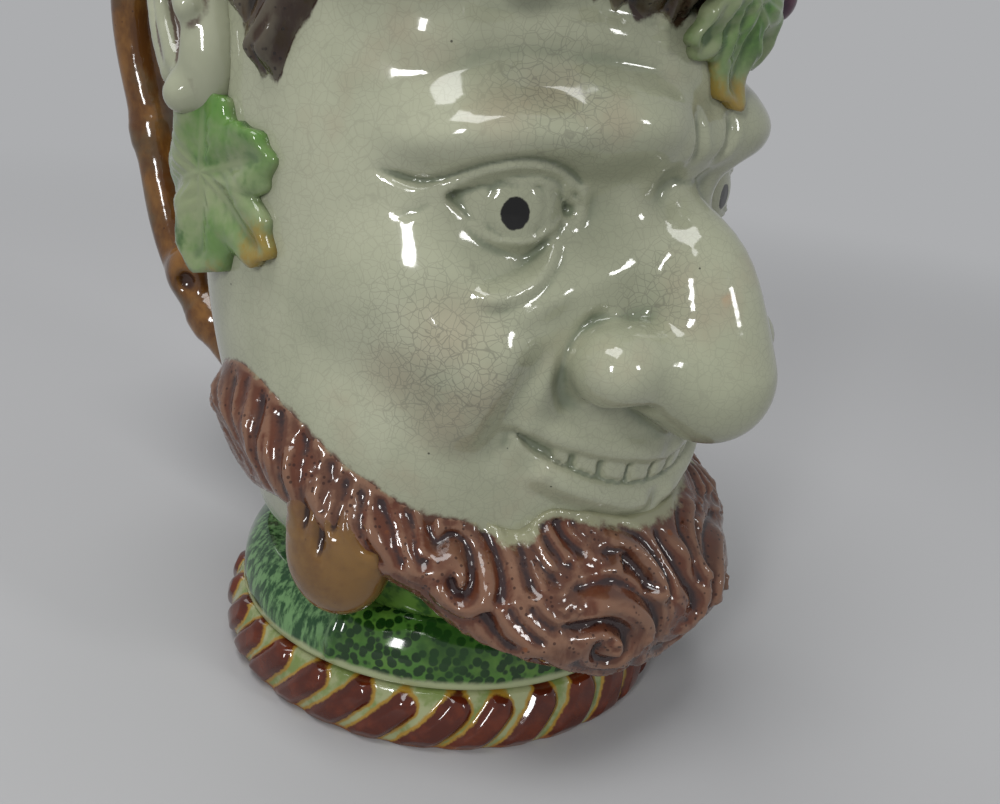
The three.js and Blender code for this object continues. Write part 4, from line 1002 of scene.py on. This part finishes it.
foot = {
    "radius": 35.9, "shoulder": 35.1, "bore": 27, "height": 9.0, "bulge": 0.75, "uneven": 0.1,
    # leaning pads: how many, how far out, half their width, and between which heights
    "pads": 31, "out": 1.0, "half": 2.75, "from": -3.0, "to": 7.6,
    "lean": [(-180, 0.6), (-110, 0.85), (-45, 0.85), (-15, 0.5), (40, 0.45), (180, 0.6)],  # turn, mm across for 1 up
}
rise = np.linspace(0, 1, 46)
footCurve = foot["radius"] + (foot["shoulder"] - foot["radius"]) * rise**2
footCurve = footCurve + foot["bulge"] * np.sin(rise * math.pi) ** 0.8 - 0.3
footProfile = [(foot["bore"], 0.0), (foot["radius"] - 1.1, 0.0)]
footProfile += list(zip(footCurve, 0.15 + (foot["height"] - 0.35) * rise))
footProfile += [(foot["shoulder"] - 0.9, foot["height"] + 0.02), (foot["bore"], foot["height"])]
dice = np.random.default_rng(4)
padShift = dice.uniform(-0.4, 0.4, foot["pads"])
padWide = dice.uniform(0.88, 1.06, foot["pads"])
padTall = dice.uniform(-0.9, 0.3, foot["pads"])


def padDistance(turn, height):
    # mm inside (above zero) or outside the nearest leaning pad on the foot's side
    pitch = 2 * math.pi * foot["radius"] / foot["pads"]
    around = (turn % 360) / 360 * foot["pads"]
    best = np.full(np.broadcast(turn, height).shape, -9.0)
    slope = curve(foot["lean"], (turn + 180) % 360 - 180)
    for shift in (-1, 0, 1):
        cell = (np.floor(around + 0.5).astype(int) + shift) % foot["pads"]
        off = ((around - cell + foot["pads"] / 2) % foot["pads"] - foot["pads"] / 2) * pitch - padShift[cell]
        up = height - foot["height"] / 2
        low, high = foot["from"] - foot["height"] / 2, foot["to"] - foot["height"] / 2 + padTall[cell]
        t = np.clip((off * slope + up) / (1 + slope**2), low, high)
        wide = foot["half"] * padWide[cell] / np.sqrt(1 + slope**2)
        best = np.maximum(best, wide - np.hypot(off - t * slope, up - t))
    return best


def footRelief(turn, height, index):
    # the pads, rounded over and worn flatter at the ground
    shown = (index > 1) * (index < 2 + len(rise))
    worn = 0.3 + 0.7 * soft(height / 2.2)
    pads = foot["out"] * soft(padDistance(turn, height) / 1.6 + 0.3)
    return (pads + foot["uneven"] * noise(turn, height, 9, 6)) * shown * worn


footPiece = turnedPiece("padFoot", footProfile, 900, footRelief, closed=True)
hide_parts("foot_band")
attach(footPiece, "root")
p = pointsOf(footPiece)
paint(footPiece, "pad", padDistance(np.degrees(np.arctan2(p[:, 0], -p[:, 1])), p[:, 2]))
paintHollows(footPiece, 6)

rim = {"inner": 31.5, "outer": 35.8, "low": 118.6, "top": 126.6, "roll": 2.4, "lip": 37.2,
       "mouth": [(33.2, 126.3), (32.3, 125.6), (31.8, 124.6), (31.5, 122.4)],  # radius, height
       "uneven": 0.15}
rimCurve = [(rim["lip"] - rim["roll"] + rim["roll"] * math.cos(a), rim["top"] - rim["roll"] + rim["roll"] * math.sin(a))
            for a in np.radians(np.linspace(-95, 92, 22))]
rimProfile = [(rim["inner"], rim["low"]), (rim["outer"], rim["low"]), (rim["outer"] + 0.1, rim["low"] + 1.2),
              (rim["outer"] + 0.35, rim["low"] + 1.7), (rim["outer"] + 0.1, rim["low"] + 2.2), (rim["outer"], 121.6)]
rimProfile += rimCurve + rim["mouth"]


def rimRelief(turn, height, index):
    # thrown by hand, so never quite round
    return rim["uneven"] * noise(turn, height * 0 + 120, 30, 9)


rimPiece = turnedPiece("rolledRim", rimProfile, 300, rimRelief, closed=True)
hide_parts("rim_lip")
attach(rimPiece, "root")
paintHollows(rimPiece, 4)
print("the turned parts are done")


def addNode(tree, kind, inputs=(), out=0, **settings):
    # adds a node with its settings; an input takes a link, a hex colour or a plain value; gives one output
    node = tree.nodes.new(kind)
    for key, value in settings.items():
        setattr(node, key, value)
    for key, value in dict(inputs).items():
        if isinstance(value, bpy.types.NodeSocket):
            tree.links.new(value, node.inputs[key])
        else:
            node.inputs[key].default_value = linearColour(value) if isinstance(value, str) else value
    return node.outputs[out]


def layOver(tree, base, colour, value, low, high, most=1.0):
    # one glaze over another: none where the value is low, the most where it is high
    share = addNode(tree, "ShaderNodeMapRange", {0: value, 1: low, 2: high, 3: 0.0, 4: most},
                    interpolation_type="SMOOTHSTEP")
    return addNode(tree, "ShaderNodeMix", {0: share, 6: base, 7: colour}, out=2, data_type="RGBA")


def patches(tree, at, base, colour, size, low, high, most=1.0):
    # soft patches of another glaze, about `size` mm across
    cloud = addNode(tree, "ShaderNodeTexNoise", {"Vector": at, "Scale": 1000 / size, "Detail": 4.0, "Roughness": 0.6})
    return layOver(tree, base, colour, cloud, low, high, most)


def ragged(tree, at, value, size, reach):
    # the value moved up and down by up to `reach`, in patches of `size` mm, so that an edge on it wanders
    cloud = addNode(tree, "ShaderNodeTexNoise", {"Vector": at, "Scale": 1000 / size, "Detail": 4.0, "Roughness": 0.65})
    middle = addNode(tree, "ShaderNodeMath", {0: value, 1: -reach}, operation="ADD")
    return addNode(tree, "ShaderNodeMath", {0: cloud, 1: 2 * reach, 2: middle}, operation="MULTIPLY_ADD")


def specks(tree, at, base, colour, cell, size, where, low, high, most=1.0):
    # round specks of radius `size` mm about `cell` mm apart, only where patches of `where` mm allow them
    near = addNode(tree, "ShaderNodeTexVoronoi", {"Vector": at, "Scale": 1000 / cell})
    dot = addNode(tree, "ShaderNodeMapRange", {0: near, 1: 1.2 * size / cell, 2: 0.7 * size / cell},
                  interpolation_type="SMOOTHSTEP")
    cloud = addNode(tree, "ShaderNodeTexNoise", {"Vector": at, "Scale": 1000 / where, "Detail": 2.0})
    allowed = addNode(tree, "ShaderNodeMapRange", {0: cloud, 1: low, 2: high}, interpolation_type="SMOOTHSTEP")
    share = addNode(tree, "ShaderNodeMath", {0: dot, 1: allowed}, operation="MULTIPLY")
    return layOver(tree, base, colour, share, 0.0, 1.0, most)


def crazing(tree, at, cell, line):
    # 1 on hair cracks `line` mm wide between cells of `cell` mm, 0 off them
    bend = addNode(tree, "ShaderNodeTexNoise", {"Vector": at, "Scale": 450 / cell, "Detail": 2.0}, out=1)
    bent = addNode(tree, "ShaderNodeVectorMath", {0: bend, 1: (cell * 0.0009,) * 3, 2: at}, operation="MULTIPLY_ADD")
    edge = addNode(tree, "ShaderNodeTexVoronoi", {"Vector": bent, "Scale": 1000 / cell}, feature="DISTANCE_TO_EDGE")
    return addNode(tree, "ShaderNodeMapRange", {0: edge, 1: line / cell, 2: 0.0}, interpolation_type="SMOOTHSTEP")


def glazed(name, build, roughness, bumpSize, bumpStrength):
    # a material under clear lead glaze, which is almost as smooth as glass: its colour comes from `build`,
    # and its surface is a little uneven, in swells of `bumpSize` mm, so that lamps mirror in it as bent streaks
    material = bpy.data.materials.new(name)
    material.use_nodes = True
    tree = material.node_tree
    shader = tree.nodes["Principled BSDF"]
    at = addNode(tree, "ShaderNodeTexCoord", out="Object")
    hollow = addNode(tree, "ShaderNodeAttribute", out="Fac", attribute_name="hollow")
    tree.links.new(build(tree, at, hollow), shader.inputs["Base Color"])
    uneven = addNode(tree, "ShaderNodeTexNoise", {"Vector": at, "Scale": 1000 / bumpSize, "Detail": 2.0})
    bump = addNode(tree, "ShaderNodeBump", {"Strength": bumpStrength, "Distance": 0.0004, "Height": uneven})
    tree.links.new(bump, shader.inputs["Normal"])
    shader.inputs["Roughness"].default_value = roughness
    shader.inputs["IOR"].default_value = 1.52  # of clear lead glaze
    return material


def inMetres(turn, height, radius):
    # a place as x, y and z for the nodes
    return tuple(float(c) * metres for c in place(turn, height, radius))


def fromHead(tree, at, turn, height, size, reach, out=0.0):
    # distance to a place on the head, or `out` mm off it; it goes up and down as in ragged
    spot = inMetres(turn, height, radiusAt(headTable, turn, height) + out)
    far = addNode(tree, "ShaderNodeVectorMath", {0: at, 1: spot}, out="Value", operation="DISTANCE")
    return ragged(tree, at, far, size, reach)


skinLook = {
    "body": "#979a83", "thin": "#a4a68f", "pooledShade": "#6f7762", "crack": "#68665a", "stain": "#957f6a",
    "speck": "#2c2822", "pupil": "#0a0908", "blush": "#b07a50", "green": "#52732f", "darkGreen": "#2c4a22",
    # turn, height, radius in mm of the brownish stains
    "stains": ((-51.7, 64.6, 8), (-45.3, 56.2, 6), (-51.7, 51.7, 7), (-60.5, 57.3, 7), (-47.2, 90.1, 6),
               (-38.1, 92.3, 6), (-27.5, 90.3, 5), (46, 60, 8), (58, 52, 6), (28, 91, 5)),
    # turn, height, radius in mm of where the crazing shows most
    "crazed": ((-52, 60, 24), (-8, 68, 15), (8, 60, 14), (-36, 92, 15), (50, 60, 24), (36, 92, 15)),
    # turn, height, radius in mm and how far out are the orange blushes on the nose
    "blushes": ((-1.2, 57, 2.4, 9.4), (-4.8, 70, 1.6, 8.2), (12, 59, 1.4, 9)),
    "pupils": ((41.6, 78.0, 36.2), (-42.2, 78.3, 36.1)),  # turn, height, mm from the axis
}


def paleSkinGlaze(tree, at, hollow):
    # cream earthenware under clear lead glaze: greenish and dark where it pools, with painted shade in the hollows, a
    # net of stained crazing
    look = skinLook
    base = patches(tree, at, look["body"], look["thin"], 24, 0.38, 0.68)
    base = layOver(tree, base, look["thin"], hollow, -0.03, -0.3, 0.5)
    # painted shade: the hollows darkened, as well as greener where the glaze pools
    base = layOver(tree, base, look["pooledShade"], hollow, 0.02, 0.28, 0.9)
    base = patches(tree, at, base, look["stain"], 17, 0.56, 0.78, 0.3)
    for turn, height, size in look["stains"]:
        far = fromHead(tree, at, turn, height, 4, 0.003)
        base = layOver(tree, base, look["stain"], far, size * metres, 0.0, 0.3)
    for turn, height, size, out in look["blushes"]:
        far = fromHead(tree, at, turn, height, 2.5, 0.0012, out)
        base = layOver(tree, base, look["blush"], far, size * metres, 0.2 * size * metres, 0.5)
    # the net of crazing shows most on cheeks, nose and brows, where dirt got in; real cracks are
    # about 0.02 mm wide, finer than a pixel, so they are drawn three to four times as wide
    net = addNode(tree, "ShaderNodeMath", {0: crazing(tree, at, 1.9, 0.08), 1: crazing(tree, at, 1.2, 0.06)},
                  operation="MAXIMUM")
    shown = 0.18
    for turn, height, size in look["crazed"]:
        far = fromHead(tree, at, turn, height, 9, 0.006)
        near = addNode(tree, "ShaderNodeMapRange", {0: far, 1: size * metres, 2: 0.0, 4: 0.6},
                       interpolation_type="SMOOTHSTEP")
        shown = addNode(tree, "ShaderNodeMath", {0: shown, 1: near}, operation="MAXIMUM")
    net = addNode(tree, "ShaderNodeMath", {0: net, 1: shown}, operation="MULTIPLY")
    base = addNode(tree, "ShaderNodeMix", {0: net, 6: base, 7: look["crack"]}, out=2, data_type="RGBA")
    base = specks(tree, at, base, look["speck"], 6.0, 0.16, 9, 0.47, 0.52, 0.8)
    for turn, height, radius in look["pupils"]:  # painted on, black iron
        away = addNode(tree, "ShaderNodeVectorMath", {0: at, 1: inMetres(turn, height, radius)}, operation="SUBTRACT")
        away = addNode(tree, "ShaderNodeVectorMath", {0: away, 1: (1, 1, 0.86)}, operation="MULTIPLY")
        far = addNode(tree, "ShaderNodeVectorMath", {0: away}, out="Value", operation="LENGTH")
        base = layOver(tree, base, look["pupil"], ragged(tree, at, far, 0.9, 0.00022), 0.0018, 0.0016)
    height = addNode(tree, "ShaderNodeSeparateXYZ", {0: at}, out=2)
    neck = patches(tree, at, look["green"], look["darkGreen"], 4, 0.45, 0.6)
    base = layOver(tree, base, neck, ragged(tree, at, height, 4, 0.002), 0.0285, 0.0245)
    for brown in (beardLook, hairLook):  # the brown was brushed a little over the edge
        edge = addNode(tree, "ShaderNodeAttribute", out="Fac", attribute_name=brown["edge"])
        base = layOver(tree, base, brown["brown"], ragged(tree, at, edge, 2.2, 1.3), -0.4, 0.5)
    return base


beardLook = {
    "brown": "#543629", "warm": "#572f1f", "tan": "#80604c", "pooledShade": "#2b2022", "fleck": "#2a120c", "pit": "#74401e",
    "edge": "beardEdge", "bare": "#8f8f74",
}
hairLook = {
    "brown": "#33241b", "warm": "#40321f", "tan": "#595346", "pooledShade": "#1e1a17", "fleck": "#180e0c", "pit": "#553018",
    "edge": "hairEdge", "bare": "#8f8f74",
}


def manganeseBrown(look):
    # manganese brown brushed on the raw body along the locks: purple where it pools, and painted shade darkens the
    # valleys almost to black; tan where it runs thin
    def build(tree, at, hollow):
        long = addNode(tree, "ShaderNodeMapping", {"Vector": at, "Scale": (1.0, 1.0, 0.3)})
        base = patches(tree, long, look["brown"], look["warm"], 7, 0.4, 0.62)
        base = patches(tree, long, base, look["tan"], 2.6, 0.5, 0.72, 0.55)
        base = layOver(tree, base, look["tan"], hollow, -0.03, -0.2, 0.65)
        # painted shade: the valleys between the locks darkened, over the glaze's own pooling
        base = layOver(tree, base, look["pooledShade"], hollow, 0.02, 0.22, 0.9)
        base = specks(tree, at, base, look["fleck"], 1.0, 0.24, 5, 0.36, 0.52, 0.75)
        base = specks(tree, at, base, look["pit"], 5.0, 0.55, 12, 0.52, 0.56, 0.8)
        edge = addNode(tree, "ShaderNodeAttribute", out="Fac", attribute_name=look["edge"])
        return layOver(tree, base, look["bare"], ragged(tree, at, edge, 2.2, 1.3), 0.5, -0.5)

    return build


tanLook = {"tan": "#72542c", "brown": "#573b22", "root": "#5e4031", "pooledShade": "#2f1f1a", "fleck": "#3a2216"}


def tanSlip(tree, at, hollow):
    # ochre slip under clear glaze on a smooth hanging lock, brown run down into it from the beard
    look = tanLook
    base = patches(tree, at, look["tan"], look["brown"], 6, 0.42, 0.68, 0.7)
    height = addNode(tree, "ShaderNodeSeparateXYZ", {0: at}, out=2)
    base = layOver(tree, base, look["root"], ragged(tree, at, height, 4, 0.006), 0.034, 0.042)
    # painted shade in the hollows, where the glaze also pools
    base = layOver(tree, base, look["pooledShade"], hollow, 0.02, 0.22)
    return specks(tree, at, base, look["fleck"], 1.8, 0.18, 6, 0.5, 0.6, 0.7)


earLook = {"foldWashShade": "#54403a"}


def washedEar(tree, at, hollow):
    # the same cream glaze, with a thin purple-brown wash in the folds, laid on by their depth, so that it is partly
    # painted shade
    base = patches(tree, at, skinLook["body"], skinLook["thin"], 14, 0.4, 0.66)
    # painted shade in the hollows, as on the face
    base = layOver(tree, base, skinLook["pooledShade"], hollow, 0.02, 0.2, 0.8)
    return layOver(tree, base, earLook["foldWashShade"], ragged(tree, at, hollow, 5, 0.12), -0.01, 0.09, 0.85)


leafLook = {"pale": "#848e6b", "green": "#527a35", "deep": "#2b4c22", "pooledShade": "#3f5a38", "ochre": "#8c6f22"}


def copperGreenLeaf(tree, at, hollow):
    # copper green brushed over cream: thin and pale on the veins, dark in the creases where the glaze pools and shade
    # is painted in, ochre on some tips
    look = leafLook
    vein, tip = (addNode(tree, "ShaderNodeAttribute", out="Fac", attribute_name=name) for name in ("vein", "tip"))
    base = patches(tree, at, look["pale"], look["green"], 10, 0.34, 0.66)
    base = patches(tree, at, base, look["deep"], 5, 0.54, 0.72, 0.7)
    base = layOver(tree, base, look["pale"], ragged(tree, at, tip, 5, 0.4), 0.35, 1.0, 0.6)  # it thins toward the edge
    base = layOver(tree, base, look["pale"], vein, 0.35, 0.95, 0.45)
    base = layOver(tree, base, look["pooledShade"], hollow, 0.03, 0.25, 0.7)
    return layOver(tree, base, look["ochre"], ragged(tree, at, tip, 6, 0.5), 0.6, 0.9, 0.85)


plumLook = {"plum": "#3a2034", "brown": "#583244", "thin": "#74484e", "pooledShade": "#140c14"}


def plumGlaze(tree, at, hollow):
    # manganese laid thick on the grapes: almost black between them, where it pools and shade is painted in, brownish
    # where it thins on top
    look = plumLook
    base = patches(tree, at, look["plum"], look["brown"], 5, 0.38, 0.66)
    base = layOver(tree, base, look["thin"], hollow, -0.12, -0.35, 0.5)
    return layOver(tree, base, look["pooledShade"], hollow, 0.03, 0.28)


vineLook = {"brown": "#523215", "ochre": "#785226", "grey": "#544631", "pooledShade": "#3c2214", "fleck": "#3a2010"}


def ochreBrownVine(tree, at, hollow):
    # ochre and iron brown run down the modelled vine stems, grey where the glaze is thick
    look = vineLook
    long = addNode(tree, "ShaderNodeMapping", {"Vector": at, "Scale": (1.0, 0.4, 0.3)})
    base = patches(tree, long, look["brown"], look["ochre"], 3.2, 0.38, 0.64)
    base = patches(tree, at, base, look["grey"], 13, 0.5, 0.66, 0.75)
    # painted shade: darker in the hollows, where the glaze also pools
    base = layOver(tree, base, look["pooledShade"], hollow, 0.01, 0.2)
    return specks(tree, at, base, look["fleck"], 2.2, 0.22, 7, 0.48, 0.58, 0.7)


spongeLook = {
    "pale": "#587f30", "green": "#44702a", "dot": "#12330e", "dark": "#1c4216", "feather": "#1a4220",
    "streak": "#648a58", "lip": "#9da57e",
}


def spongedCopperGreen(tree, at, hollow):
    # copper green dabbed on with a sponge: round dark dots 2 mm apart, and brushed feathers on the back part
    look = spongeLook
    ground = patches(tree, at, look["green"], look["pale"], 6, 0.42, 0.66)
    near = addNode(tree, "ShaderNodeTexVoronoi", {"Vector": at, "Scale": 1000 / 1.35, "Randomness": 0.85})
    base = layOver(tree, ground, look["dot"], ragged(tree, at, near, 4, 0.12), 0.62, 0.46)
    base = patches(tree, at, base, look["dark"], 11, 0.46, 0.62, 0.75)
    long = addNode(tree, "ShaderNodeMapping", {"Vector": at, "Scale": (1.0, 1.0, 0.28)})
    brushed = patches(tree, long, look["feather"], look["streak"], 1.1, 0.42, 0.62)
    back = addNode(tree, "ShaderNodeSeparateXYZ", {0: at}, out=1)
    base = layOver(tree, base, brushed, ragged(tree, at, back, 4, 0.003), -0.011, -0.006)
    height = addNode(tree, "ShaderNodeSeparateXYZ", {0: at}, out=2)
    return layOver(tree, base, look["lip"], ragged(tree, at, height, 3, 0.0005), 0.0112, 0.0102)


footLook = {
    "brown": "#481a0c", "warm": "#5e2610", "yellow": "#97762a", "cream": "#959a72", "green": "#6f7f46",
    "worn": "#854d24",
}


def chestnutPads(tree, at, hollow):
    # chestnut iron glaze on the raised pads, thinned to yellow at the edge, over a cream and green ground
    look = footLook
    pad = addNode(tree, "ShaderNodeAttribute", out="Fac", attribute_name="pad")
    pad = ragged(tree, at, pad, 2.0, 0.5)
    ground = patches(tree, at, look["cream"], look["green"], 5, 0.42, 0.62)
    base = layOver(tree, ground, look["yellow"], pad, -0.6, -0.2)
    brown = patches(tree, at, look["brown"], look["warm"], 4, 0.4, 0.68)
    base = layOver(tree, base, brown, pad, -0.15, 0.15)
    height = addNode(tree, "ShaderNodeSeparateXYZ", {0: at}, out=2)
    return layOver(tree, base, look["worn"], ragged(tree, at, height, 3, 0.0016), 0.0012, 0.0, 0.9)


beardGlaze = glazed("manganeseBeard", manganeseBrown(beardLook), 0.1, 1.8, 0.2)
hairGlaze = glazed("manganeseHair", manganeseBrown(hairLook), 0.1, 1.8, 0.2)
skinGlaze = glazed("creamEarthenware", paleSkinGlaze, 0.08, 5, 0.12)
looks = {
    "mugHead": skinGlaze,
    "rolledRim": skinGlaze,
    "satyrEar": glazed("washedEar", washedEar, 0.08, 5, 0.12),
    "beardCurls": beardGlaze,
    "hairLocks": hairGlaze,
    "tanLock": glazed("ochreSlipLock", tanSlip, 0.11, 3, 0.12),
    "vineLeaf": glazed("copperGreenLeaf", copperGreenLeaf, 0.09, 2.4, 0.2),
    "grapeBunch": glazed("plumGrapes", plumGlaze, 0.08, 3, 0.1),
    "vineHandle": glazed("ochreBrownVine", ochreBrownVine, 0.11, 2.6, 0.25),
    "spongedSocle": glazed("spongedCopperGreen", spongedCopperGreen, 0.1, 4, 0.1),
    "padFoot": glazed("chestnutPads", chestnutPads, 0.1, 2.4, 0.15),
}
for piece in list(scene.objects):
    for start, look in looks.items():
        if piece.name.startswith(start):
            piece.data.materials.clear()
            piece.data.materials.append(look)
            # mm that a point lies inside the edge of beard or hair; the mug's inside has no brown
            p = pointsOf(piece)
            browned = np.full(len(p), start in ("mugHead", "beardCurls", "hairLocks"))
            if start == "mugHead":
                browned = np.hypot(p[:, 0], p[:, 1]) >= tableAt(headTable, p) - 1.5
            for name, table in (("beardEdge", beardEdge), ("hairEdge", hairEdge)):
                paint(piece, name, np.where(browned, tableAt(table, p), -9.0))
print("the materials are on")

room = {
    "paper": "#a9a9aa", "far": "#acadaf", "sky": "#e9ecf0", "light": 0.3,
    "size": 3.0, "fade": (0.2, 0.55),  # metres: half the paper's side, and where it turns into the far tone
}


def looking(tree):
    # 1 for rays that show the background: from the camera, or mirrored or bent on their way
    path = addNode(tree, "ShaderNodeLightPath", out="Is Camera Ray")
    for name in ("Is Glossy Ray", "Is Transmission Ray"):
        path = addNode(tree, "ShaderNodeMath", {0: path, 1: addNode(tree, "ShaderNodeLightPath", out=name)},
                       operation="MAXIMUM")
    return path


# plain matt grey paper; far away it turns into the tone of the background, so that no horizon shows
half = room["size"]
floorMesh = bpy.data.meshes.new("floor")
floorMesh.from_pydata([(-half, -half, 0), (half, -half, 0), (half, half, 0), (-half, half, 0)], [], [(0, 1, 2, 3)])
floor = bpy.data.objects.new("floor", floorMesh)
scene.collection.objects.link(floor)
paper = bpy.data.materials.new("greyPaper")
paper.use_nodes = True
tree = paper.node_tree
shader = tree.nodes["Principled BSDF"]
shader.inputs["Base Color"].default_value = linearColour(room["paper"])
shader.inputs["Roughness"].default_value = 0.7
shader.inputs["Specular IOR Level"].default_value = 0.2
at = addNode(tree, "ShaderNodeTexCoord", out="Object")
far = addNode(tree, "ShaderNodeVectorMath", {0: at}, out="Value", operation="LENGTH")
fade = addNode(tree, "ShaderNodeMapRange", {0: far, 1: room["fade"][0], 2: room["fade"][1]},
               interpolation_type="SMOOTHSTEP")
fade = addNode(tree, "ShaderNodeMath", {0: fade, 1: looking(tree)}, operation="MULTIPLY")
glow = addNode(tree, "ShaderNodeEmission", {"Color": room["far"], "Strength": 1.0})
both = addNode(tree, "ShaderNodeMixShader", {0: fade, 1: shader.outputs[0], 2: glow})
tree.links.new(both, tree.nodes["Material Output"].inputs["Surface"])
floorMesh.materials.append(paper)

world = bpy.data.worlds.new("room")
scene.world = world
world.use_nodes = True
tree = world.node_tree
lit = addNode(tree, "ShaderNodeBackground", {"Color": room["sky"], "Strength": room["light"]})
seen = addNode(tree, "ShaderNodeBackground", {"Color": room["far"], "Strength": 1.0})
both = addNode(tree, "ShaderNodeMixShader", {0: looking(tree), 1: lit, 2: seen})
tree.links.new(both, tree.nodes["World Output"].inputs["Surface"])
